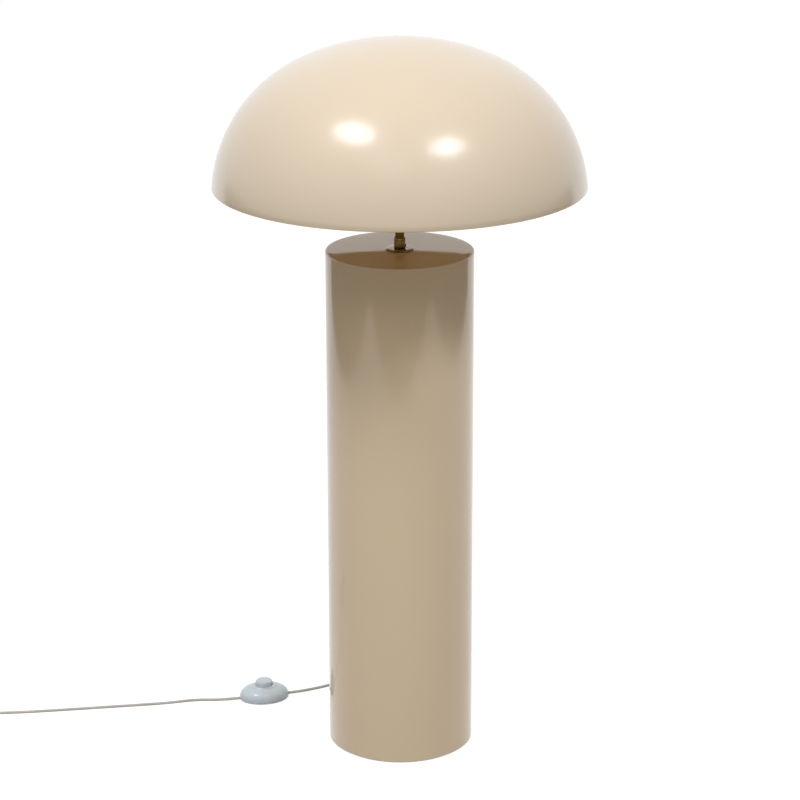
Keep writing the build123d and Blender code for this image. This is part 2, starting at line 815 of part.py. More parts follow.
# least gap of the coil to itself: centre points a millimetre apart, compared with those more
# than a quarter of a turn further along, as a flat section that lies level
coil_wire = coil_path.wire()
centre_points = [coil_wire @ (step / coil_length) for step in range(int(coil_length) + 1)]
least_gap = coil_length
for index, point in enumerate(centre_points):
    for other in centre_points[index + int(coil_start_radius) :]:
        apart = point - other
        across = max(0.0, sqrt(apart.X**2 + apart.Y**2) - flex_width)
        upright = max(0.0, abs(apart.Z) - flex_thickness)
        least_gap = min(least_gap, sqrt(across**2 + upright**2))
print(f"flex_coil: least gap to itself {least_gap:.2f}")

# ---- plug --------------------------------------------------------------------------------------
# flat two-pin plug on the end of the coil: its own X axis leads on from the flex
coil_end = coil_floor.from_local_coords(coil_end_local)
plug_plan = Plane(coil_end, x_dir=coil_floor.x_dir, z_dir=(0, 0, 1))
plug_side = Plane(coil_end, x_dir=coil_floor.x_dir, z_dir=-coil_floor.y_dir)
waist_at = plug_tail_length + plug_neck_length
shoulder_at = waist_at + plug_waist_length
plug_front = shoulder_at + plug_shoulder_length
pin_sides = (-pin_spacing / 2, pin_spacing / 2)
pin_foot = plug_front - pin_depth


def plug_section(along, across):
    """Plane square to the plug's length at a place on its middle level."""
    return Plane(
        plug_plan.from_local_coords(Vector(along, across, 0)), z_dir=plug_plan.x_dir
    )


with BuildPart() as plug_body:
    with BuildSketch(plug_plan):
        with BuildLine():
            Polyline(
                (0, 0),
                (0, plug_tail_width / 2),
                (plug_tail_length, plug_tail_width / 2),
                (waist_at, plug_waist_width / 2),
                (shoulder_at, plug_width / 2),
                (plug_front, plug_width / 2),
                (plug_front, 0),
                close=True,
            )
        make_face()
        mirror(about=Plane.XZ)
    extrude(amount=plug_thickness / 2, both=True)
    with BuildSketch(plug_side):
        with BuildLine():
            Polyline(
                (0, 0),
                (0, plug_tail_thickness / 2),
                (plug_tail_length, plug_tail_thickness / 2),
                (waist_at, plug_thickness / 2),
                (plug_front, plug_thickness / 2),
                (plug_front, 0),
                close=True,
            )
        make_face()
        mirror(about=Plane.XZ)
    extrude(amount=plug_width / 2, both=True, mode=Mode.INTERSECT)
    for across in pin_sides:
        with BuildSketch(plug_section(pin_foot, across)):
            Circle(pin_core_radius + slip_gap)
        extrude(amount=pin_depth, mode=Mode.SUBTRACT)
plug_body.part.label = "plug_body"
export_step(plug_body.part, "parts/plug_body.step")

with BuildPart() as plug_pins:
    for across in pin_sides:
        with BuildSketch(plug_section(pin_foot, across)):
            Circle(pin_core_radius)
        extrude(amount=pin_depth + pin_length)
        with BuildSketch(plug_section(plug_front + pin_sleeve_length, across)):
            Circle(pin_radius)
        extrude(amount=pin_length - pin_sleeve_length)
plug_pins.part.label = "plug_pins"
export_step(plug_pins.part, "parts/plug_pins.step")

with BuildPart() as pin_sleeves:
    for across in pin_sides:
        with BuildSketch(plug_section(plug_front, across)):
            Circle(pin_radius)
            Circle(pin_core_radius + slip_gap, mode=Mode.SUBTRACT)
        extrude(amount=pin_sleeve_length)
pin_sleeves.part.label = "pin_sleeves"
export_step(pin_sleeves.part, "parts/pin_sleeves.step")

# ---- foot switch -------------------------------------------------------------------------------
def switch_level(level):
    """The switch's own plane at a level above the floor."""
    return switch_floor.offset(level)


flex_slot = (flex_width + 2 * slip_gap, flex_thickness + 2 * slip_gap)
screw_spots = [(0, -switch_screw_place), (0, switch_screw_place)]

# tray that stands on the floor, open on top, with half a slot for the flex at both tips
with BuildPart() as switch_base:
    with BuildSketch(switch_floor):
        Ellipse(switch_half_length, switch_half_width)
    extrude(amount=switch_seam_height)
    with BuildSketch(switch_level(switch_floor_thickness)):
        Rectangle(pocket_length, pocket_width)
    extrude(amount=switch_seam_height - switch_floor_thickness, mode=Mode.SUBTRACT)
    with BuildSketch(switch_level(switch_seam_height - flex_slot[1] / 2)):
        Rectangle(2 * switch_half_length, flex_slot[0])
    extrude(amount=flex_slot[1] / 2, mode=Mode.SUBTRACT)
    with BuildSketch(switch_floor):
        with Locations(*screw_spots):
            Circle(switch_screw_radius + hole_gap)
    extrude(amount=switch_seam_height, mode=Mode.SUBTRACT)
    with BuildSketch(switch_floor):
        with Locations(*screw_spots):
            Circle(switch_screw_head_radius + hole_gap)
    extrude(amount=switch_screw_head_height + hole_gap, mode=Mode.SUBTRACT)
switch_base.part.label = "switch_base"
export_step(switch_base.part, "parts/switch_base.step")

# moulded cover: soft shoulders through ellipses on a superelliptic profile, a pocket for the
# works, a room for the button's flange and the round hole that the button moves in
flange_room_top = switch_height - switch_wall
with BuildPart() as switch_cover:
    for step in range(switch_profile_steps + 1):
        angle = pi / 2 * step / switch_profile_steps
        share = max(cos(angle) ** switch_profile_power, switch_hub_radius / switch_half_width)
        level = switch_seam_height + (switch_height - switch_seam_height) * (
            sin(angle) ** switch_profile_power
        )
        with BuildSketch(switch_level(level)):
            Ellipse(switch_half_length * share, switch_half_width * share)
    loft(ruled=True)
    with BuildSketch(switch_level(switch_seam_height)):
        Rectangle(pocket_length, pocket_width)
    extrude(amount=pocket_top - switch_seam_height, mode=Mode.SUBTRACT)
    with BuildSketch(switch_level(pocket_top)):
        Circle(button_flange_radius + moving_gap)
    extrude(amount=flange_room_top - pocket_top, mode=Mode.SUBTRACT)
    with BuildSketch(switch_level(flange_room_top)):
        Circle(button_radius + moving_gap)
    extrude(amount=switch_wall, mode=Mode.SUBTRACT)
    with BuildSketch(switch_level(switch_seam_height)):
        Rectangle(2 * switch_half_length, flex_slot[0])
    extrude(amount=flex_slot[1] / 2, mode=Mode.SUBTRACT)
    with BuildSketch(switch_level(switch_seam_height)):
        with Locations(*screw_spots):
            Circle(switch_screw_radius + slip_gap)
    extrude(amount=switch_screw_length - switch_seam_height, mode=Mode.SUBTRACT)
switch_cover.part.label = "switch_cover"
export_step(switch_cover.part, "parts/switch_cover.step")

# press button: a hollow cap with a flange that the cover holds down and a boss in the middle
button_flange_top = flange_room_top - moving_gap
with BuildPart() as switch_button:
    with BuildSketch(switch_level(button_flange_top - button_flange_thickness)):
        Circle(button_flange_radius)
    extrude(amount=button_flange_thickness)
    with BuildSketch(switch_level(button_flange_top - button_flange_thickness)):
        Circle(button_radius)
    extrude(amount=button_top - button_flange_top + button_flange_thickness)
    chamfer(switch_button.edges().group_by(Axis.Z)[-1], button_edge)
    with BuildSketch(switch_level(button_flange_top - button_flange_thickness)):
        Circle(button_radius - button_wall)
        Circle(button_boss_radius, mode=Mode.SUBTRACT)
    extrude(
        amount=button_top - button_wall - button_flange_top + button_flange_thickness,
        mode=Mode.SUBTRACT,
    )
switch_button.part.label = "switch_button"
export_step(switch_button.part, "parts/switch_button.step")

with BuildPart() as switch_module:
    with BuildSketch(switch_level(switch_floor_thickness)):
        Rectangle(module_length, module_width)
    extrude(amount=module_height)
switch_module.part.label = "switch_module"
export_step(switch_module.part, "parts/switch_module.step")

with BuildPart() as switch_terminals:
    with BuildSketch(switch_level(switch_floor_thickness)):
        with GridLocations(module_length + terminal_length, 0, 2, 1):
            Rectangle(terminal_length, terminal_width)
    extrude(amount=terminal_height)
switch_terminals.part.label = "switch_terminals"
export_step(switch_terminals.part, "parts/switch_terminals.step")

# saddles that hold the flex down on both sides
with BuildPart() as flex_grips:
    with BuildSketch(switch_level(switch_floor_thickness)):
        with GridLocations(2 * flex_grip_place, 0, 2, 1):
            Rectangle(flex_grip_length, flex_grip_width)
    extrude(amount=flex_grip_height)
    with BuildSketch(switch_level(switch_floor_thickness)):
        Rectangle(2 * switch_half_length, flex_slot[0])
    extrude(
        amount=switch_seam_height + flex_slot[1] / 2 - switch_floor_thickness,
        mode=Mode.SUBTRACT,
    )
flex_grips.part.label = "flex_grips"
export_step(flex_grips.part, "parts/flex_grips.step")

with BuildPart() as switch_screws:
    with BuildSketch(switch_level(hole_gap)):
        with Locations(*screw_spots):
            Circle(switch_screw_head_radius)
    extrude(amount=switch_screw_head_height)
    with BuildSketch(switch_level(hole_gap)):
        with Locations(*screw_spots):
            Circle(switch_screw_radius)
    extrude(amount=switch_screw_length - 2 * hole_gap)
switch_screws.part.label = "switch_screws"
export_step(switch_screws.part, "parts/switch_screws.step")
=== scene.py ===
"""Looks of a mushroom floor lamp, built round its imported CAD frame.

Metres, +Z up, -Y to the viewer.
"""

import logging
import math
from dataclasses import dataclass
from enum import Enum
from typing import Callable, ClassVar, Sequence

import bpy
from mathutils import Matrix, Quaternion, Vector


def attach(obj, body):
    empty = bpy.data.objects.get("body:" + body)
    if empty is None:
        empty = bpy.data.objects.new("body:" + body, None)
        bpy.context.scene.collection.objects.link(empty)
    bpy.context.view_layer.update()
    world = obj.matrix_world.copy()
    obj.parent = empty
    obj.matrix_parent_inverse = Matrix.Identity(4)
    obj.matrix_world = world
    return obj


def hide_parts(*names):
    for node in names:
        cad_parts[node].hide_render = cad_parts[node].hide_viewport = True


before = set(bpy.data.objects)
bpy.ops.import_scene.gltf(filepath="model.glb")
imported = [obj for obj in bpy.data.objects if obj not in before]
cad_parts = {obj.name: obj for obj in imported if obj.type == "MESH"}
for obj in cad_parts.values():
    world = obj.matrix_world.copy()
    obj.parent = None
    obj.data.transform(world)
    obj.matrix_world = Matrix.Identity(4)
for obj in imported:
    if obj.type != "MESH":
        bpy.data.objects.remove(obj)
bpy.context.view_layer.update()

LOG = logging.getLogger("floor_lamp")

POLE = 1e-4  # half width of an outline that closes on the axis
DOUBLES = 2e-6  # vertices nearer than this are one
FLUSH = 1e-5  # faces this near to a level lie on it
CALM, STRONG = 0.3, 0.7  # most of the noise lies between these
UP = Vector((0.0, 0.0, 1.0))
QUARTER = math.pi / 2

Pair = tuple[float, float]
Point = tuple[float, float, float]
Ring = tuple[float, float, float]
Colour = tuple[int, int, int]
Piece = bpy.types.Object
Socket = bpy.types.NodeSocket
Value = Socket | float | Sequence[float]


class Body(Enum):
    """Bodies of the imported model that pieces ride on."""

    STAND = "stand"
    HEAD = "head"
    BUTTON = "foot_button"


class Start(Enum):
    """Outline that a stacked piece starts from."""

    ROUND = 0
    SQUARE = 4


# ---- modelling ----


def mode(name: str) -> None:
    """Switch the active object to a mode."""
    bpy.ops.object.mode_set(mode=name)


def begin(name: str, start: Start, segments: int) -> Piece:
    """Add the first outline of a piece at the origin, a metre in half width.

    Args:
        name: Name of the new object.
        start: Round or square outline.
        segments: Number of corners of a round outline.

    Returns:
        The new object, in edit mode, all selected.
    """
    if start is Start.SQUARE:
        bpy.ops.mesh.primitive_plane_add(size=2.0)
    else:
        bpy.ops.mesh.primitive_circle_add(vertices=segments, radius=1.0)
    piece = bpy.context.active_object
    piece.name = piece.data.name = name
    mode("EDIT")
    bpy.ops.mesh.select_mode(type="VERT")
    bpy.ops.mesh.select_all(action="SELECT")
    if start is Start.SQUARE:
        bpy.ops.mesh.delete(type="ONLY_FACE")
        bpy.ops.mesh.select_all(action="SELECT")
    return piece


def fit_ring(ring: Ring, last: Ring) -> None:
    """Scale the selected outline from one ring's half widths to another's and move it up to it.

    Args:
        ring: Half widths along X and Y, and the height, that the outline gets.
        last: The ones that it has.
    """
    scale = (ring[0] / last[0], ring[1] / last[1], 1.0)
    bpy.ops.transform.resize(value=scale, center_override=(0.0, 0.0, last[2]))
    bpy.ops.transform.translate(value=(0.0, 0.0, ring[2] - last[2]))


def stack(
    name: str, rings: Sequence[Ring], start: Start = Start.ROUND, segments: int = 96
) -> Piece:
    """Model a piece by extruding one outline through a list of rings about +Z.

    A ring of no width closes the piece on its axis, and a last ring that equals the first one
    closes it into a loop, as for a tube.

    Args:
        name: Name of the new object.
        rings: Half width along X, half width along Y and height of each ring.
        start: Outline that the rings have.
        segments: Number of corners of a round outline.

    Returns:
        The new object, its normals outwards.
    """
    wide = [(max(x, POLE), max(y, POLE), z) for x, y, z in rings]
    piece = begin(name, start, segments)
    fit_ring(wide[0], (1.0, 1.0, 0.0))
    if rings[0][0] == 0.0:
        bpy.ops.mesh.edge_face_add()
        bpy.ops.mesh.poke()
        bpy.ops.mesh.select_all(action="DESELECT")
        select_level(piece, wide[0])
    for last, ring in zip(wide, wide[1:]):
        bpy.ops.mesh.extrude_edges_move()
        fit_ring(ring, last)
    if rings[-1][0] == 0.0:
        bpy.ops.mesh.merge(type="CENTER")
    bpy.ops.mesh.select_all(action="SELECT")
    bpy.ops.mesh.remove_doubles(threshold=DOUBLES)
    bpy.ops.mesh.normals_make_consistent(inside=False)
    mode("OBJECT")
    return piece


def select_level(piece: Piece, ring: Ring) -> None:
    """Select the vertices of one ring by their distance from the axis.

    Args:
        piece: The object in edit mode.
        ring: The ring whose vertices are selected.
    """
    mode("OBJECT")
    for vertex in piece.data.vertices:
        vertex.select = math.hypot(vertex.co.x, vertex.co.y) > ring[0] / 2
    mode("EDIT")
    bpy.ops.mesh.select_mode(type="VERT")


def round_rings(profile: Sequence[Pair]) -> list[Ring]:
    """Turn radius and height pairs into rings."""
    return [(radius, radius, height) for radius, height in profile]


def corner(centre: Pair, radius: float, first: float, last: float, steps: int) -> list[Pair]:
    """Points along an arc of a profile.

    Args:
        centre: Radius and height of the arc's centre.
        radius: Radius of the arc.
        first: Angle of its first point, in degrees from straight outwards.
        last: Angle of its last point.
        steps: Number of steps between them.

    Returns:
        Radius and height of each point.
    """
    angles = (math.radians(first + (last - first) * step / steps) for step in range(steps + 1))
    return [(centre[0] + radius * math.cos(a), centre[1] + radius * math.sin(a)) for a in angles]


def show(name: str, data: bpy.types.ID) -> Piece:
    """Put an object of a curve, lamp or camera in the scene."""
    piece = bpy.data.objects.new(name, data)
    bpy.context.scene.collection.objects.link(piece)
    return piece


def take(piece: Piece) -> None:
    """Select one piece alone and make it the active one.

    Args:
        piece: The object.
    """
    bpy.ops.object.select_all(action="DESELECT")
    piece.select_set(True)
    bpy.context.view_layer.objects.active = piece


def place(piece: Piece, matrix: Matrix) -> Piece:
    """Put a finished piece in its place, and keep that place in its mesh.

    Args:
        piece: The object, at the origin.
        matrix: Where it goes.

    Returns:
        The same object, at the origin again.
    """
    take(piece)
    piece.matrix_world = matrix
    bpy.ops.object.transform_apply(location=True, rotation=True, scale=True)
    return piece


def soften(piece: Piece, width: float = 0.0, steps: int = 3, angle: float = 32.0) -> Piece:
    """Bevel a piece's sharp edges, if a width is given, and shade it smooth.

    Args:
        piece: The object to finish.
        width: Width of the bevel.
        steps: Segments of the bevel.
        angle: Edges that turn by more than this, in degrees, count as sharp.

    Returns:
        The same object.
    """
    take(piece)
    if width > 0.0:
        bevel = piece.modifiers.new("edges", "BEVEL")
        bevel.width, bevel.segments = width, steps
        bevel.limit_method, bevel.angle_limit = "ANGLE", math.radians(angle)
        bpy.ops.object.modifier_apply(modifier=bevel.name)
    bpy.ops.object.shade_smooth_by_angle(angle=math.radians(angle))
    return piece


def carve(piece: Piece, tool: Piece) -> Piece:
    """Cut one closed piece out of another and remove the tool.

    Args:
        piece: The object that is cut.
        tool: The object that cuts it.

    Returns:
        The cut object.
    """
    take(piece)
    cut = piece.modifiers.new("cut", "BOOLEAN")
    cut.operation, cut.solver, cut.object = "DIFFERENCE", "MANIFOLD", tool
    bpy.ops.object.modifier_apply(modifier=cut.name)
    bpy.data.objects.remove(tool)
    return piece


# ---- finishes ----


def linear(red: int, green: int, blue: int) -> tuple[float, float, float, float]:
    """Linear colour of a display colour of 0 to 255 a channel, by the sRGB curve."""
    parts = (channel / 255 for channel in (red, green, blue))
    return (*(c / 12.92 if c <= 0.04045 else ((c + 0.055) / 1.055) ** 2.4 for c in parts), 1.0)


def add_node(
    tree: bpy.types.NodeTree, kind: str, *values: Value, **named: Value
) -> bpy.types.Node:
    """Add a node, its inputs joined to sockets or set to constants.

    Args:
        tree: The node tree.
        kind: Type of the node, less "ShaderNode".
        *values: What the first inputs get.
        **named: What inputs get by their names.

    Returns:
        The new node.
    """
    node = tree.nodes.new("ShaderNode" + kind)
    for key, value in (*enumerate(values), *named.items()):
        if isinstance(value, bpy.types.NodeSocket):
            tree.links.new(value, node.inputs[key])
        else:
            node.inputs[key].default_value = value
    return node


class Sheet:
    """Node sheet of one finish: a principled shader and what feeds it."""

    def __init__(self, name: str) -> None:
        """Start the sheet.

        Args:
            name: Name of the material.
        """
        self.material = bpy.data.materials.new(name)
        self.material.use_nodes = True
        self.tree = self.material.node_tree
        self.shader = self.tree.nodes["Principled BSDF"]
        self.place = add_node(self.tree, "TexCoord").outputs["Object"]

    def feed(self, source: Socket, *names: str) -> None:
        """Join a socket to inputs of the shader."""
        for name in names:
            self.tree.links.new(source, self.shader.inputs[name])

    def put(self, name: str, value: float) -> None:
        """Set an input of the shader to a constant."""
        self.shader.inputs[name].default_value = value

    def noise(self, scale: float, detail: float = 2.0, stretch: Point = (1.0, 1.0, 1.0)) -> Socket:
        """Add noise on the piece's own coordinates.

        Args:
            scale: Features per metre.
            detail: Octaves.
            stretch: Scale along each axis.

        Returns:
            The noise value's socket.
        """
        mapping = add_node(self.tree, "Mapping", self.place, Scale=stretch)
        place = mapping.outputs["Vector"]
        node = add_node(self.tree, "TexNoise", place, Scale=scale, Detail=detail)
        return node.outputs["Fac"]

    def depth(self) -> Socket:
        """Read the place along the piece's own Y axis, in metres."""
        return add_node(self.tree, "SeparateXYZ", self.place).outputs["Y"]

    def spread(self, value: Socket, low: float, high: float) -> Socket:
        """Spread noise between two values.

        Args:
            value: The noise.
            low: Result where the noise is calm.
            high: Result where it is strong.

        Returns:
            The spread value's socket.
        """
        node = add_node(self.tree, "MapRange", value, CALM, STRONG, low, high)
        return node.outputs["Result"]

    def blend(self, share: Socket, first: Colour, second: Colour) -> Socket:
        """Mix two colours by a value.

        Args:
            share: 0 for the first colour, 1 for the second.
            first: First display colour.
            second: Second display colour.

        Returns:
            The mixed colour's socket.
        """
        node = add_node(self.tree, "Mix", share)
        node.data_type = "RGBA"
        node.inputs["A"].default_value = linear(*first)
        node.inputs["B"].default_value = linear(*second)
        return next(s for s in node.outputs if s.type == "RGBA")

    def bump(
        self, height: Socket, strength: float, distance: float, under: Socket | None = None
    ) -> Socket:
        """Raise the surface by a height.

        Args:
            height: The height, 0 to 1.
            strength: How much of it shows.
            distance: Height in metres at 1.
            under: Normal of a coarser relief that this one lies on.

        Returns:
            The normal's socket.
        """
        base = {} if under is None else {"Normal": under}
        node = add_node(self.tree, "Bump", strength, distance, Height=height, **base)
        return node.outputs["Normal"]


@dataclass(frozen=True)
class Finish:
    """What each finish has: its name, and two close colours that cloud into each other."""

    name: str
    colour: Colour
    second: Colour
    patches: ClassVar[float] = 3.5
    octaves: ClassVar[float] = 3.0

    @property
    def slot(self) -> str:
        """Name of the slot that the finish fills."""
        return self.name

    def material(self) -> bpy.types.Material:
        """Build the material.

        Returns:
            The new material.
        """
        sheet = Sheet(self.name)
        share = sheet.spread(sheet.noise(self.patches, self.octaves), 0.0, 1.0)
        sheet.feed(sheet.blend(share, self.colour, self.second), "Base Color")
        self.surface(sheet)
        return sheet.material

    def surface(self, sheet: Sheet) -> None:
        """Give the sheet the gloss and relief that each kind of finish has."""
        raise NotImplementedError


@dataclass(frozen=True)
class Enamel(Finish):
    """Stoved glossy enamel on sheet steel: even colour, faint orange peel and a clear gloss.

    A wave and a grain are given as features a metre and height. The lean tips the mirror of a
    plate that isn't quite level, as a rise towards the back in metres a metre.
    """

    coat_roughness: float
    roughness: Pair = (0.42, 0.5)
    specular: float = 0.15
    lean: float = 0.0
    peel: float = 0.03
    wave: Pair = (55.0, 0.0006)
    grain: Pair = (420.0, 0.00025)
    gloss_patches: float = 9.0

    @property
    def slot(self) -> str:
        """Name of the slot that all the enamels share."""
        return "cream_enamel"

    def surface(self, sheet: Sheet) -> None:
        """Give the sheet its gloss and relief.

        Args:
            sheet: The sheet of the new material.
        """
        sheet.feed(sheet.spread(sheet.noise(self.gloss_patches, 3.0), *self.roughness), "Roughness")
        plate = sheet.bump(sheet.depth(), 1.0, self.lean) if self.lean else None
        waves = sheet.bump(sheet.noise(self.wave[0], 1.0), self.peel, self.wave[1], plate)
        peel = sheet.bump(sheet.noise(self.grain[0], 2.0), self.peel, self.grain[1], waves)
        sheet.feed(peel, "Normal", "Coat Normal")
        sheet.put("Specular IOR Level", self.specular)
        sheet.put("Coat Weight", 1.0)
        sheet.put("Coat Roughness", self.coat_roughness)


@dataclass(frozen=True)
class Metal(Finish):
    """Bare or patinated metal with a turned or drawn grain and cloudy tarnish."""

    patches: ClassVar[float] = 90.0
    octaves: ClassVar[float] = 4.0
    roughness: Pair = (0.28, 0.42)
    grain: Point = (1.0, 1.0, 14.0)
    grain_scale: float = 260.0
    relief: float = 0.12
    relief_height: float = 0.0001

    def surface(self, sheet: Sheet) -> None:
        """Give the sheet its gloss and relief.

        Args:
            sheet: The sheet of the new material.
        """
        grain = sheet.noise(self.grain_scale, 3.0, self.grain)
        sheet.feed(sheet.spread(grain, *self.roughness), "Roughness")
        sheet.feed(sheet.bump(grain, self.relief, self.relief_height), "Normal")
        sheet.put("Metallic", 1.0)


@dataclass(frozen=True)
class Moulding(Finish):
    """Moulded plastic, rubber, ceramic or foam: a grain, cloudy gloss and a little depth."""

    patches: ClassVar[float] = 40.0
    roughness: Pair = (0.3, 0.42)
    grain_scale: float = 900.0
    relief: float = 0.12
    relief_height: float = 0.0002
    depth: float = 0.0
    coat: float = 0.0
    coat_roughness: float = 0.08
    depth_scale: float = 0.002
    gloss_patches: float = 60.0

    def surface(self, sheet: Sheet) -> None:
        """Give the sheet its gloss and relief.

        Args:
            sheet: The sheet of the new material.
        """
        sheet.feed(sheet.spread(sheet.noise(self.gloss_patches, 2.0), *self.roughness), "Roughness")
        grain = sheet.noise(self.grain_scale, 2.0)
        sheet.feed(sheet.bump(grain, self.relief, self.relief_height), "Normal")
        sheet.put("Subsurface Weight", self.depth)
        sheet.put("Subsurface Scale", self.depth_scale)
        sheet.put("Coat Weight", self.coat)
        sheet.put("Coat Roughness", self.coat_roughness)


ENAMEL = Enamel("cream_enamel", (225, 202, 167), (222, 199, 164), 0.1)
# Painted shade: the lid under the dome gets a browner copy of the column's enamel.
SHADED_LID_ENAMEL = Enamel("cream_enamel_lid_painted_shade", (230, 202, 146), (227, 199, 143), 0.04, lean=0.0365)
# Painted shade: the dome's underside gets a browner copy of the enamel, which also browns its
# bounce light and its reflection in the lid.
SHADED_INSIDE_ENAMEL = Enamel("cream_enamel_inside_painted_shade", (226, 192, 136), (223, 189, 133), 0.1)
# Painted sheen: the top-lit dome gets a paler, cooler copy of the enamel, with its own softer
# gloss.
SPUN_ENAMEL_PAINTED_SHEEN = Enamel("cream_enamel_spun_painted_sheen", (218, 200, 174), (215, 197, 171), 0.2, (0.3, 0.36), 0.2)
PATINA = Metal("aged_brass", (144, 117, 64), (102, 80, 43), (0.12, 0.24))
RAW_STEEL = Metal("raw_steel", (140, 142, 144), (104, 102, 100), (0.35, 0.55), (1.0, 9.0, 1.0))
ZINC = Metal("zinc_steel", (186, 190, 194), (160, 164, 170), (0.25, 0.4))
NICKEL = Metal("nickel_brass", (206, 198, 172), (186, 178, 152), (0.18, 0.3))
FOAM = Moulding("foam_pad", (58, 58, 60), (44, 44, 46), (0.8, 0.95), 1400.0, 0.5, 0.0004)
THERMOSET = Moulding("black_thermoset", (30, 30, 32), (22, 22, 24), (0.28, 0.42), 1100.0)
CERAMIC = Moulding("holder_ceramic", (232, 228, 218), (222, 216, 204), (0.5, 0.65), 700.0)
OPAL = Moulding(
    "opal_glass", (246, 243, 236), (240, 236, 228), (0.35, 0.45),
    grain_scale=600.0, relief=0.04, relief_height=0.0001, depth=0.3,
)
VINYL = Moulding(
    "clear_vinyl", (186, 181, 172), (170, 164, 154), (0.18, 0.28),
    grain_scale=500.0, relief=0.08, relief_height=0.0001, depth=0.2, coat=0.5,
)
PLUG_VINYL = Moulding(
    "plug_vinyl", (200, 207, 212), (190, 198, 204), (0.26, 0.36),
    grain_scale=900.0, relief=0.1, relief_height=0.0001, depth=0.2, coat=0.2,
)
SWITCH = Moulding(
    "switch_plastic", (209, 219, 226), (203, 213, 221), (0.26, 0.36),
    grain_scale=1000.0, relief=0.1, relief_height=0.0001, depth=0.25, coat=0.25,
)


class Dresser:
    """Gives pieces their finish and body, and keeps the finishes made."""

    def __init__(self) -> None:
        """Start with no finish made."""
        self.made: dict[str, bpy.types.Material] = {}

    def paint(self, piece: Piece, finish: Finish) -> None:
        """Add a finish to those that a piece has.

        Args:
            piece: Mesh or curve.
            finish: What its surface is.
        """
        if finish.name not in self.made:
            self.made[finish.name] = finish.material()
        piece.data.materials.append(self.made[finish.name])

    def part(
        self, piece: Piece, finish: Finish, chosen: Callable[[bpy.types.MeshPolygon], bool]
    ) -> None:
        """Put a second finish on some faces of a piece.

        Args:
            piece: A mesh that has its first finish.
            finish: What those faces are.
            chosen: Tells whether a face is one of them.
        """
        self.paint(piece, finish)
        for face in piece.data.polygons:
            if chosen(face):
                face.material_index = 1

    def new(self, piece: Piece, finish: Finish, body: Body, *nodes: str) -> Piece:
        """Finish a new piece, let it ride on a body and stand for CAD nodes.

        Args:
            piece: The new object.
            finish: What its surface is.
            body: Body that it moves with.
            *nodes: CAD nodes that it replaces.

        Returns:
            The same object.
        """
        piece.data.materials.clear()
        self.paint(piece, finish)
        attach(piece, body.value)
        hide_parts(*nodes)
        LOG.info("piece %s stands for %s", piece.name, ", ".join(nodes))
        return piece

    def keep(self, finish: Finish, *nodes: str) -> list[Piece]:
        """Dress CAD nodes whose shape stays.

        Args:
            finish: What their surface is.
            *nodes: Names of the nodes.

        Returns:
            The objects of the nodes.
        """
        for node in nodes:
            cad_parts[node].data.materials.clear()
            self.paint(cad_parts[node], finish)
            LOG.info("kept node %s", node)
        return [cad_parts[node] for node in nodes]


# ---- sub-assemblies ----


@dataclass
class Column:
    """Tall rolled column with a closed top, on its weight and pad."""

    radius: float = 0.1
    wall: float = 0.0012
    bottom: float = 0.002
    top: float = 0.707
    lid: float = 0.0015
    edge: float = 0.0022
    foot_edge: float = 0.0003
    side_steps: int = 12
    lid_rings: tuple[float, ...] = (0.9, 0.8, 0.6, 0.4, 0.2)

    def build(self, dresser: Dresser) -> None:
        """Build the shell and dress the parts of its foot.

        Args:
            dresser: Gives the finishes.
        """
        inner = self.radius - self.wall
        under = self.top - self.lid
        side = self.top - self.edge - self.bottom
        steps = self.side_steps
        outside = [
            (inner, self.bottom),
            (self.radius - self.foot_edge, self.bottom),
            (self.radius, self.bottom + self.foot_edge),
            *((self.radius, self.bottom + side * step / steps) for step in range(1, steps)),
            *corner((self.radius - self.edge, self.top - self.edge), self.edge, 0.0, 90.0, 8),
            *((self.radius * share, self.top) for share in self.lid_rings),
            (0.0, self.top),
        ]
        middle = (under + self.bottom) / 2
        inside = [(0.0, under), (inner * 0.5, under), (inner, under), (inner, middle)]
        shell = stack("column", round_rings([*inside, *outside]), segments=256)
        dresser.new(soften(shell), ENAMEL, Body.STAND, "column_shell")
        # Painted shade: the lid's faces take the browner copy of the enamel.
        dresser.part(shell, SHADED_LID_ENAMEL, lambda face: face.center.z > self.top - FLUSH)
        dresser.keep(FOAM, "base_pad")
        dresser.keep(RAW_STEEL, "base_weight", "base_tabs")
        dresser.keep(ZINC, "base_screws")


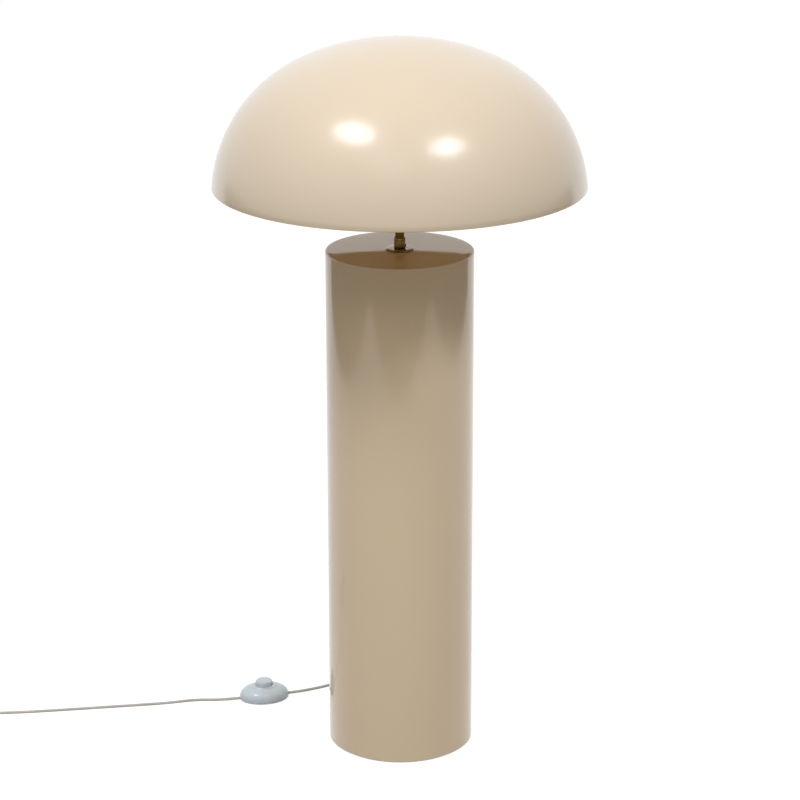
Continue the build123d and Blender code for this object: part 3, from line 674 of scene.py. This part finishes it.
@dataclass
class Shade:
    """Spun dome of two tangent arcs with a rolled hem, and the carrier under it.

    The side arc leans in from the rim by some degrees. The lip is where the hem ends inside.
    """

    radius: float = 0.25
    rim: float = 0.7945
    height: float = 0.196
    wall: float = 0.0012
    side_arc: float = 0.202
    lean: float = 4.53
    hem_height: float = 0.006
    hem_wall: float = 0.0024
    lip: Pair = (0.0005, 0.0006)
    side_steps: int = 34
    crown_steps: int = 18

    def arcs(self, inset: float, start: float) -> list[Pair]:
        """Profile of one skin from a level to the axis.

        Args:
            inset: Distance from the outer skin.
            start: Level of the first point.

        Returns:
            Radius and height of each point.
        """
        lean = math.radians(self.lean)
        side_x = self.radius - self.side_arc * math.cos(lean)
        side_z = self.rim - self.side_arc * math.sin(lean)
        rise = self.rim + self.height - side_z
        crown_arc = (side_x**2 + rise**2 - self.side_arc**2) / (2 * (rise - self.side_arc))
        crown_z = self.rim + self.height - crown_arc
        join = math.degrees(math.atan2(side_z - crown_z, side_x))
        first = math.degrees(math.asin((start - side_z) / (self.side_arc - inset)))
        side = corner((side_x, side_z), self.side_arc - inset, first, join, self.side_steps)
        crown = corner((0.0, crown_z), crown_arc - inset, join, 90.0, self.crown_steps)
        return [*side, *crown[1:-1], (0.0, crown_z + crown_arc - inset)]

    @staticmethod
    def inside(face: bpy.types.MeshPolygon) -> bool:
        """Tell whether a face of the dome looks down or inwards, where the painted shade goes."""
        return face.normal.z < 0.0 or face.normal.xy.dot(face.center.xy) < 0.0

    def build(self, dresser: Dresser) -> None:
        """Build the dome and dress its carrier.

        Args:
            dresser: Gives the finishes.
        """
        half_hem = self.hem_wall / 2
        outer = self.arcs(0.0, self.rim + half_hem)
        inner = self.arcs(self.wall, self.rim + self.hem_height)
        base = outer[0][0]
        roll = corner((base - half_hem, self.rim + half_hem), half_hem, -180.0, 0.0, 8)
        lip = [
            (roll[0][0], self.rim + self.hem_height - self.lip[1]),
            (roll[0][0] + self.lip[0], self.rim + self.hem_height),
        ]
        profile = [*reversed(inner), *reversed(lip), *roll, *outer[1:]]
        dome = stack("shade_dome", round_rings(profile), segments=256)
        # Painted sheen: the dome's outside and the spider take the paler copy of the enamel.
        dresser.new(soften(dome, angle=50.0), SPUN_ENAMEL_PAINTED_SHEEN, Body.HEAD, "shade")
        # Painted shade: faces that look down or inwards take the browner copy of the enamel.
        dresser.part(dome, SHADED_INSIDE_ENAMEL, self.inside)
        dresser.keep(SPUN_ENAMEL_PAINTED_SHEEN, "shade_spider")
        dresser.keep(THERMOSET, "shade_ring_lower", "shade_ring_upper")


@dataclass
class Stem:
    """Patinated brass stem: washer, set collar with its screw, and tube.

    Washer and collar have a radius and a height, the tube an outer and an inner radius, the screw
    a radius and a level over the washer, and its socket a share of its radius and a depth.
    """

    column_top: float = 0.707
    washer: Pair = (0.0188, 0.002)
    collar: Pair = (0.0076, 0.015)
    bore: float = 0.00512
    play: float = 0.00008
    tube: Pair = (0.00615, 0.0051)
    tube_top: float = 0.7955
    edge: float = 0.0005
    tube_edge: float = 0.0003
    screw: Pair = (0.002, 0.0037)
    screw_span: Pair = (0.00623, 0.0088)
    screw_edge: float = 0.00025
    socket: Pair = (0.5, 0.001)
    socket_tip: float = 0.0012

    def build(self, dresser: Dresser) -> None:
        """Build the visible brass and dress the nipples and nut.

        Args:
            dresser: Gives the finishes.
        """
        low = self.column_top
        mid = low + self.washer[1]
        top = mid + self.collar[1]
        rings = (
            ("washer", Body.STAND, self.washer[0], self.bore, low, mid, self.edge),
            ("collar", Body.STAND, self.collar[0], self.tube[0] + self.play, mid, top, self.edge),
            ("tube", Body.HEAD, *self.tube, mid, self.tube_top, self.tube_edge),
        )
        for name, body, outer, inner, foot, head, edge in rings:
            outside = [(outer, level) for level in (foot, (foot + head) / 2, head)]
            profile = [(inner, foot), *outside, (inner, head), (inner, foot)]
            ring = stack(name, round_rings(profile), segments=72)
            dresser.new(soften(ring, edge), PATINA, body, f"stem_{name}")
        radius, rise = self.screw
        length = self.screw_span[1] - self.screw_span[0]
        socket = radius * self.socket[0]
        outside = [(0.0, 0.0), (radius, 0.0), (radius, length), (socket, length)]
        inside = [(socket, length - self.socket[1]), (0.0, length - self.socket_tip)]
        screw = stack("set_screw", round_rings([*outside, *inside]), segments=24)
        turn = Matrix.Rotation(QUARTER, 4, "Y")
        spot = Matrix.Translation((self.screw_span[0], 0.0, mid + rise))
        place(soften(screw, self.screw_edge, steps=2), spot @ turn)
        dresser.new(screw, PATINA, Body.STAND, "collar_set_screw")
        dresser.keep(ZINC, "stem_nipple", "stem_nut", "holder_nipple")


@dataclass
class Lampholder:
    """Screw lampholder and bulb, hidden under the dome."""

    neck_bottom: float = 0.8481
    neck: float = 0.0146
    neck_height: float = 0.008
    flare: float = 0.004
    radius: float = 0.0185
    top: float = 0.9317
    top_edge: float = 0.006
    tip: float = 0.3

    def build(self, dresser: Dresser) -> None:
        """Build the bulb's envelope and dress the holder.

        Args:
            dresser: Gives the finishes.
        """
        neck_top = self.neck_bottom + self.neck_height
        flare, edge = self.flare, self.top_edge
        profile = [
            (0.0, self.neck_bottom),
            (self.neck, self.neck_bottom),
            (self.neck, neck_top),
            *corner((self.radius - flare, neck_top + flare), flare, -60.0, 0.0, 5),
            (self.radius, (neck_top + self.top) / 2),
            *corner((self.radius - edge, self.top - edge), edge, 0.0, 90.0, 8),
            (self.radius * self.tip, self.top),
            (0.0, self.top),
        ]
        envelope = stack("bulb_envelope", round_rings(profile), segments=72)
        dresser.new(soften(envelope), OPAL, Body.HEAD, "bulb_glass")
        dresser.keep(THERMOSET, "holder_cap", "holder_sleeve")
        dresser.keep(CERAMIC, "holder_insert")
        dresser.keep(NICKEL, "screw_shell", "centre_contact", "bulb_cap")


@dataclass
class FootSwitch:
    """Foot switch: soft-shouldered cover on a tray, with one round press button.

    Its shell is hollow to half widths, with a pocket for the works and over it a room for the
    button's flange, as radius and level. The tray's side has insets and levels, and the button is
    hollow to a radius and a ledge. The flex's hole has a half height and a half width.
    """

    centre: Pair = (-0.1986, 0.125)
    turn: float = 15.0
    half_length: float = 0.0358
    half_width: float = 0.0282
    height: float = 0.0205
    seam: float = 0.0032
    power: float = 0.8
    steps: int = 22
    hub: float = 0.0148
    hole: float = 0.0123
    lip: float = 0.0006
    wall: float = 0.0018
    inside: Pair = (0.0325, 0.0248)
    pocket: tuple[Ring, ...] = ((0.026, 0.014, 0.0125), (0.030, 0.022, 0.0060))
    flange_room: Pair = (0.0139, 0.0135)
    seam_gap: float = 0.0001
    groove: float = 0.0005
    tray_side: tuple[Pair, ...] = ((0.0022, 0.0), (0.0008, 0.0006), (0.0001, 0.0016))
    tray_hollow: Ring = (0.0320, 0.0243, 0.0018)
    button: float = 0.012
    button_inside: Pair = (0.0104, 0.0006)
    button_top: float = 0.028
    button_low: float = 0.017
    button_edge: float = 0.0022
    button_crown: Pair = (0.0002, 0.00005)
    flange: float = 0.0136
    flange_gap: float = 0.0003
    flex_hole: Pair = (0.0015, 0.0029)
    tool_reach: float = 0.04

    def matrix(self) -> Matrix:
        """Where the switch stands on the floor."""
        turn = Matrix.Rotation(math.radians(self.turn), 4, "Z")
        return Matrix.Translation((*self.centre, 0.0)) @ turn

    def axis_point(self, along: float, level: float) -> Point:
        """A point on the switch's long axis, at a level."""
        return tuple(self.matrix() @ Vector((along, 0.0, level)))

    def cover_rings(self) -> list[Ring]:
        """Follow the cover from its seam up over the shoulders to the hole.

        Returns:
            The rings.
        """
        rings = []
        for step in range(self.steps + 1):
            angle = QUARTER * step / self.steps
            share = math.cos(angle) ** self.power
            level = self.seam + (self.height - self.seam) * math.sin(angle) ** self.power
            wide, deep = self.half_length * share, self.half_width * share
            if deep <= self.hub:
                break
            rings.append((wide, deep, level))
        wide, deep, level = rings[-1]
        for share in (1 / 3, 2 / 3, 1.0):
            rise = (self.height - level) * math.sin(share * QUARTER)
            across = wide + (self.hub - wide) * share
            rings.append((across, deep + (self.hub - deep) * share, level + rise))
        lip = corner((self.hole + self.lip, self.height - self.lip), self.lip, 90.0, 180.0, 4)
        return [*rings, *round_rings([*lip, (self.hole, self.height - self.wall)])]

    def build(self, dresser: Dresser) -> list[Piece]:
        """Build the switch's pieces.

        Args:
            dresser: Gives the finishes.

        Returns:
            The switch's new pieces and kept nodes.
        """
        under = self.seam + self.seam_gap
        room = self.height - self.wall
        bottom = (self.half_length, self.half_width, under)
        hollow = round_rings([(self.flange_room[0], room), self.flange_room])
        loop = [bottom, *self.cover_rings(), *hollow, *self.pocket, (*self.inside, under), bottom]
        cover = soften(stack("switch_cover_shell", loop, segments=128), angle=40.0)
        self.slot_for_flex(cover)
        dresser.new(place(cover, self.matrix()), SWITCH, Body.STAND, "switch_cover")
        side = (*self.tray_side, (self.tray_side[-1][0], self.seam - self.groove))
        tray = [
            (0.0, 0.0, 0.0),
            *((self.half_length - inset, self.half_width - inset, z) for inset, z in side),
            (self.half_length - self.groove, self.half_width - self.groove, self.seam),
            (*self.inside, self.seam),
            self.tray_hollow,
            (0.0, 0.0, self.tray_hollow[2]),
        ]
        base = soften(stack("switch_tray", tray, segments=128), angle=40.0)
        self.slot_for_flex(base)
        dresser.new(place(base, self.matrix()), SWITCH, Body.STAND, "switch_base")
        edge = self.button_edge
        flange_top = room - self.flange_gap
        hollow, ledge = self.button_inside
        shoulder, dip = self.button_crown
        profile = [
            (0.0, self.button_low + ledge),
            (hollow, self.button_low + ledge),
            (hollow, self.button_low),
            (self.flange, self.button_low),
            (self.flange, flange_top),
            (self.button, flange_top),
            (self.button, (flange_top + self.button_top) / 2),
            *corner((self.button - edge, self.button_top - edge - shoulder), edge, 0.0, 84.0, 8),
            (self.button * 0.5, self.button_top - dip),
            (0.0, self.button_top),
        ]
        button = soften(stack("press_button", round_rings(profile), segments=96), angle=40.0)
        dresser.new(place(button, self.matrix()), SWITCH, Body.BUTTON, "switch_button")
        return [
            *(cover, base, button),
            *dresser.keep(THERMOSET, "switch_module"),
            *dresser.keep(NICKEL, "switch_terminals"),
            *dresser.keep(ZINC, "switch_screws"),
            *dresser.keep(SWITCH, "flex_grips"),
        ]

    def slot_for_flex(self, piece: Piece) -> None:
        """Cut the flat hole through which the flex enters at both tips.

        Args:
            piece: The cover or tray, upright at the origin.
        """
        hole, reach = self.flex_hole, self.tool_reach
        rings = [(0.0, 0.0, -reach), (*hole, -reach), (*hole, reach), (0.0, 0.0, reach)]
        tool = stack("flex_hole", rings, segments=24)
        place(tool, Matrix.Translation((0.0, 0.0, self.seam)) @ Matrix.Rotation(QUARTER, 4, "Y"))
        carve(piece, tool)


@dataclass
class Plug:
    """Flat two-pin plug at the far end of the flex."""

    end: Point
    heading: Vector
    edge: float = 0.0012
    sections: tuple[Ring, ...] = (
        (0.0023, 0.0035, 0.0),
        (0.0023, 0.0035, 0.019),
        (0.0034, 0.0045, 0.0225),
        (0.0066, 0.0082, 0.0265),
        (0.00685, 0.0088, 0.030),
        (0.00685, 0.0140, 0.0385),
        (0.00685, 0.0174, 0.0425),
        (0.00685, 0.01765, 0.045),
        (0.00685, 0.01765, 0.0535),
        (0.0060, 0.0168, 0.054),
    )

    def build(self, dresser: Dresser) -> list[Piece]:
        """Build the body and dress the pins.

        Args:
            dresser: Gives the finishes.

        Returns:
            The pieces of the plug.
        """
        first, last = self.sections[0], self.sections[-1]
        rings = [(0.0, 0.0, first[2]), *self.sections, (0.0, 0.0, last[2])]
        body = stack("plug_shell", rings, Start.SQUARE)
        axes = Matrix((UP, UP.cross(self.heading), self.heading)).transposed().to_4x4()
        place(body, Matrix.Translation(self.end) @ axes)
        soften(body, self.edge, steps=4, angle=20.0)
        dresser.new(body, PLUG_VINYL, Body.STAND, "plug_body")
        pins = dresser.keep(NICKEL, "plug_pins")
        return [body, *pins, *dresser.keep(THERMOSET, "pin_sleeves")]


@dataclass
class Flex:
    """Flat twin flex: inside the lamp, to the switch, and on to the coil and plug."""

    width: float = 0.0054
    thickness: float = 0.0027
    core_step: int = 30
    resolution: int = 10
    floor: float = 0.0014
    exit_level: float = 0.028
    mouth: float = 0.124
    in_switch: float = 0.0201
    outside_switch: float = 0.048
    coil_half_turns: int = 8
    coil_start: float = 0.039
    coil_pitch: float = 0.0059
    coil_layer: float = 0.00315
    coil_rise_radius: float = 0.030
    coil_lead: float = 0.002
    plug_level: float = 0.00685
    plug_lead: float = 0.003
    rise_middle: float = 0.004
    vertices_a_half_turn: int = 6

    @staticmethod
    def draw(name: str, points: Sequence[Point], kind: str, dimensions: str) -> Piece:
        """Draw a curve of one spline.

        Args:
            name: Name of the piece.
            points: Its control points.
            kind: Kind of the spline.
            dimensions: 2D or 3D.

        Returns:
            The new curve object.
        """
        data = bpy.data.curves.new(name, "CURVE")
        data.dimensions = dimensions
        spline = data.splines.new(kind)
        spline.points.add(len(points) - 1)
        for target, point in zip(spline.points, points):
            target.co = (*point, 1.0)
        return show(name, data)

    def profile(self) -> Piece:
        """Draw the section of two round cores side by side, as a flat closed curve.

        Returns:
            The curve object.
        """
        core = self.thickness / 2
        points = []
        for side, first in ((1, self.core_step - 180), (-1, self.core_step)):
            for turn in range(first, first + 360 - self.core_step, self.core_step):
                angle = math.radians(turn)
                points.append((side * core + core * math.cos(angle), core * math.sin(angle), 0.0))
        section = self.draw("flex_section", points, "POLY", "2D")
        section.data.splines[0].use_cyclic_u = True
        section.hide_render = True
        return section

    def lay(self, name: str, points: Sequence[Point], section: Piece) -> Piece:
        """Lay a length of flex along a route.

        Args:
            name: Name of the piece.
            points: Control points of its centreline.
            section: The flex's section.

        Returns:
            The new curve object.
        """
        piece = self.draw(name, points, "NURBS", "3D")
        data, spline = piece.data, piece.data.splines[0]
        data.resolution_u, data.twist_mode = self.resolution, "Z_UP"
        data.bevel_mode, data.bevel_object = "OBJECT", section
        data.use_fill_caps = True
        spline.order_u = 3
        spline.use_endpoint_u = spline.use_smooth = True
        return piece

    def inner_route(self) -> list[Point]:
        """Route inside the column and stem."""
        return [
            (0.0, self.mouth, self.exit_level),
            (0.0, 0.062, self.exit_level),
            (0.0, 0.024, 0.050),
            (0.0, 0.006, 0.096),
            (0.0, -0.005, 0.160),
            (0.0, 0.0, 0.240),
            (0.0, 0.0, 0.8004),
        ]

    def lamp_route(self, switch: FootSwitch) -> list[Point]:
        """Route from the column's back to the switch."""
        return [
            (0.0, self.mouth, self.exit_level),
            (0.0, 0.146, self.exit_level),
            (-0.003, 0.167, 0.017),
            (-0.014, 0.187, 0.005),
            (-0.037, 0.196, self.floor),
            (-0.066, 0.188, self.floor),
            (-0.092, 0.174, self.floor),
            (-0.122, 0.155, self.floor),
            switch.axis_point(self.outside_switch, switch.seam),
            switch.axis_point(self.in_switch, switch.seam),
        ]

    def plug_route(self, switch: FootSwitch) -> list[Point]:
        """Route from the switch over the floor to the coil."""
        return [
            switch.axis_point(-self.in_switch, switch.seam),
            switch.axis_point(-self.outside_switch, switch.seam),
            (-0.268, 0.1132, self.floor),
            (-0.299, 0.1136, self.floor),
            (-0.338, 0.1022, self.floor),
            (-0.385, 0.0944, self.floor),
            (-0.440, 0.0862, self.floor),
            (-0.500, 0.0766, self.floor),
            (-0.560, 0.0686, self.floor),
            (-0.626, 0.0668, self.floor),
        ]

    def rise_run(self, rise: float) -> float:
        """Length along the floor of two opposite bends that rise by a height."""
        return 2 * math.sqrt(rise * self.coil_rise_radius - rise**2 / 4)

    def coil_route(self, start: Point, heading: Vector) -> list[Point]:
        """Control points of the coil, from where the flex reaches it to the plug.

        Args:
            start: Last point of the route over the floor.
            heading: Direction of the flex there.

        Returns:
            The points, the last one where the plug begins.
        """
        sideways = UP.cross(heading)
        near = self.width
        far = near + self.rise_run(self.coil_layer)
        inward = self.coil_half_turns // 2
        local: list[Point] = []
        side, level = 0.0, 0.0
        step = math.pi / self.vertices_a_half_turn
        for turn in range(self.coil_half_turns):
            inset = turn if turn <= inward else 2 * inward + 1 - turn
            radius = self.coil_start - inset * self.coil_pitch / 2
            way = 1 if turn % 2 == 0 else -1
            if turn == inward + 1:
                level += self.coil_layer
            centre = (far if way == 1 else near, side - way * radius)
            out = radius / math.cos(step / 2)
            for vertex in range(self.vertices_a_half_turn):
                angle = step * (vertex + 0.5)
                along = centre[0] + way * out * math.sin(angle)
                local.append((along, centre[1] + way * out * math.cos(angle), level))
            side -= 2 * way * radius
        top = self.plug_level - self.floor
        rise = self.rise_run(top - level)
        end = far + rise + self.width
        middle = far + rise / 2
        local += [(x, side, level) for x in (far + self.coil_lead, middle - self.rise_middle)]
        local += [(x, side, top) for x in (middle + self.rise_middle, end - self.plug_lead, end)]
        origin = Vector(start)
        return [tuple(origin + x * heading + y * sideways + z * UP) for x, y, z in local]

    def build(self, dresser: Dresser, switch: FootSwitch, switch_pieces: list[Piece]) -> None:
        """Lay the flex, and put the plug on its end.

        Args:
            dresser: Gives the finishes.
            switch: The foot switch on the flex.
            switch_pieces: Its pieces. Not used.
        """
        section = self.profile()
        inner = self.lay("flex_in_lamp", self.inner_route(), section)
        dresser.new(inner, VINYL, Body.STAND, "flex_inner")
        lamp_route = self.lamp_route(switch)
        lamp = self.lay("flex_to_switch", lamp_route, section)
        dresser.new(lamp, VINYL, Body.STAND, "flex_lamp_side")
        plug_route = self.plug_route(switch)
        heading = (Vector(plug_route[-1]) - Vector(plug_route[-2])).normalized()
        coil = self.coil_route(plug_route[-1], heading)
        mains = self.lay("flex_to_plug", [*plug_route, *coil], section)
        dresser.new(mains, VINYL, Body.STAND, "flex_plug_side", "flex_coil")
        plug_pieces = Plug(coil[-1], heading).build(dresser)
        dresser.keep(VINYL, "flex_bush")
        dresser.keep(THERMOSET, "bush_nut")
        for piece in (lamp, mains):
            LOG.info("%s is %.3f m long", piece.name, piece.data.splines[0].calc_length())


# ---- studio ----


@dataclass(frozen=True)
class SoftBox:
    """Oval, slightly cool soft light that faces the object."""

    name: str
    spot: Point
    size: Pair
    power: float
    aim: Point = (0.0, 0.0, 0.8)
    mirrored: bool = True
    colour: Point = (0.91, 0.94, 1.0)

    def build(self) -> None:
        """Hang the light and turn it to the object."""
        data = bpy.data.lights.new(self.name, "AREA")
        data.shape, data.size, data.size_y, data.energy = "ELLIPSE", *self.size, self.power
        data.color = self.colour
        lamp = show(self.name, data)
        lamp.visible_glossy = self.mirrored
        lamp.location = self.spot
        lamp.rotation_mode = "QUATERNION"
        lamp.rotation_quaternion = (Vector(self.aim) - Vector(self.spot)).to_track_quat("-Z", "Y")


@dataclass
class Studio:
    """Pale floor that keeps a soft shadow, dark ground round it, soft boxes, and the camera.

    The pale floor has a left, right, front and back end, past which mirrors see the dark ground.
    """

    camera_place: Point = (0.0, -3.643, 1.6698)
    pitch: float = 17.87
    roll: float = -0.0018
    lens: float = 126.5
    sensor: float = 36.0
    clip: Pair = (0.05, 60.0)
    floor_size: float = 24.0
    floor_colour: float = 0.3
    floor_white: float = 0.86
    floor_shadow: float = 0.3
    ambient: float = 0.44
    ambient_colour: Point = (1.0, 0.955, 0.88)
    pale_floor: tuple[float, float, float, float] = (-1.8, 1.95, -1.75, 1.48)
    ground_level: float = 0.001
    ground_colour: float = 0.05
    ground_roughness: float = 0.8
    lamps: tuple[SoftBox, ...] = (
        SoftBox("left_box", (-1.84, -1.49, 5.09), (1.9, 1.25), 73.7),
        SoftBox("left_fill", (-1.84, -1.49, 5.09), (1.9, 1.25), 39.6, mirrored=False),
        SoftBox("right_box", (2.32, -2.49, 5.11), (1.75, 1.15), 73.7),
        SoftBox("right_fill", (2.32, -2.49, 5.11), (1.75, 1.15), 20.9, mirrored=False),
        SoftBox("front_box", (-0.4, -2.6, 3.4), (1.6, 1.2), 22.0, mirrored=False),
    )

    def build(self) -> None:
        """Build floor, world, lamps and camera."""
        self.add_floor()
        self.add_dark_ground()
        self.add_world()
        for lamp in self.lamps:
            lamp.build()
        self.add_camera()
        bpy.context.scene.view_settings.view_transform = "Standard"

    @staticmethod
    def shown(tree: bpy.types.NodeTree, real: Socket, seen: Socket) -> Socket:
        """Show another shader to camera, mirror and glass than the one that lights the object.

        Args:
            tree: The node tree.
            real: Shader that lights the object.
            seen: Shader that is shown.

        Returns:
            The mixed shader's socket.
        """
        rays = add_node(tree, "LightPath")
        share = rays.outputs["Is Camera Ray"]
        for other in ("Is Glossy Ray", "Is Transmission Ray"):
            larger = add_node(tree, "Math", share, rays.outputs[other])
            larger.operation = "MAXIMUM"
            share = larger.outputs[0]
        return add_node(tree, "MixShader", share, real, seen).outputs[0]

    def add_floor(self) -> None:
        """Add the floor: grey in the light that it throws back, white with a shadow to the eye."""
        bpy.ops.mesh.primitive_plane_add(size=self.floor_size)
        floor = bpy.context.active_object
        floor.name = "studio_floor"
        material = bpy.data.materials.new("studio_floor")
        material.use_nodes = True
        tree = material.node_tree
        tree.nodes.remove(tree.nodes["Principled BSDF"])
        grey, pale = (
            add_node(tree, "BsdfDiffuse", (level, level, level, 1.0)).outputs[0]
            for level in (self.floor_colour, self.floor_shadow)
        )
        white = add_node(tree, "Emission", Strength=self.floor_white).outputs[0]
        both = add_node(tree, "AddShader", white, pale).outputs[0]
        out = tree.nodes["Material Output"].inputs["Surface"]
        tree.links.new(self.shown(tree, grey, both), out)
        floor.data.materials.append(material)

    def add_dark_ground(self) -> None:
        """Add the dark ground at the pale floor's front and sides, which only mirrors show."""
        left, right, front, back = self.pale_floor
        middle = ((left + right) / 2, (front + back) / 2, self.ground_level)
        bpy.ops.mesh.primitive_plane_add(size=2.0, location=middle)
        ground = bpy.context.active_object
        ground.name = "studio_ground"
        mode("EDIT")
        bpy.ops.mesh.select_all(action="SELECT")
        half = ((right - left) / 2, (back - front) / 2, 1.0)
        bpy.ops.transform.resize(value=half, center_override=middle)
        bpy.ops.mesh.delete(type="ONLY_FACE")
        bpy.ops.mesh.select_all(action="SELECT")
        bpy.ops.mesh.extrude_edges_move()
        wide = self.floor_size / 2 / right
        under_lamp = (0.0, 0.0, self.ground_level)
        bpy.ops.transform.resize(value=(wide, wide, 1.0), center_override=under_lamp)
        bpy.ops.mesh.select_all(action="DESELECT")
        mode("OBJECT")
        for face in ground.data.polygons:
            face.select = face.center.y > back
        mode("EDIT")
        bpy.ops.mesh.select_mode(type="FACE")
        bpy.ops.mesh.delete(type="FACE")
        mode("OBJECT")
        material = bpy.data.materials.new("studio_ground")
        material.use_nodes = True
        shader = material.node_tree.nodes["Principled BSDF"]
        shader.inputs["Base Color"].default_value = (*(self.ground_colour,) * 3, 1.0)
        shader.inputs["Roughness"].default_value = self.ground_roughness
        ground.data.materials.append(material)
        ground.visible_camera = ground.visible_diffuse = False
        ground.visible_shadow = ground.visible_transmission = False

    def add_world(self) -> None:
        """Add an even, slightly warm sky that shows as white behind the object."""
        world = bpy.data.worlds.new("studio")
        world.use_nodes = True
        tree = world.node_tree
        tree.nodes.remove(tree.nodes["Background"])
        colour = (*self.ambient_colour, 1.0)
        sky = add_node(tree, "Background", colour, self.ambient).outputs[0]
        white = add_node(tree, "Background", (1.0, 1.0, 1.0, 1.0), 1.0).outputs[0]
        out = tree.nodes["World Output"].inputs["Surface"]
        tree.links.new(self.shown(tree, sky, white), out)
        bpy.context.scene.world = world

    def add_camera(self) -> None:
        """Add the camera at the photograph's place."""
        data = bpy.data.cameras.new("camera")
        data.lens, data.sensor_width = self.lens, self.sensor
        data.clip_start, data.clip_end = self.clip
        camera = show("camera", data)
        camera.location = self.camera_place
        camera.rotation_mode = "QUATERNION"
        tilt = Quaternion((1.0, 0.0, 0.0), math.radians(90.0 - self.pitch))
        camera.rotation_quaternion = tilt @ Quaternion((0.0, 0.0, 1.0), self.roll)
        bpy.context.scene.camera = camera


def main() -> None:
    """Build the lamp and its studio."""
    logging.basicConfig(level=logging.INFO, format="%(name)s: %(message)s")
    Studio().build()
    dresser = Dresser()
    Column().build(dresser)
    Shade().build(dresser)
    Stem().build(dresser)
    Lampholder().build(dresser)
    switch = FootSwitch()
    Flex().build(dresser, switch, switch.build(dresser))


if __name__ == "__main__":
    main()
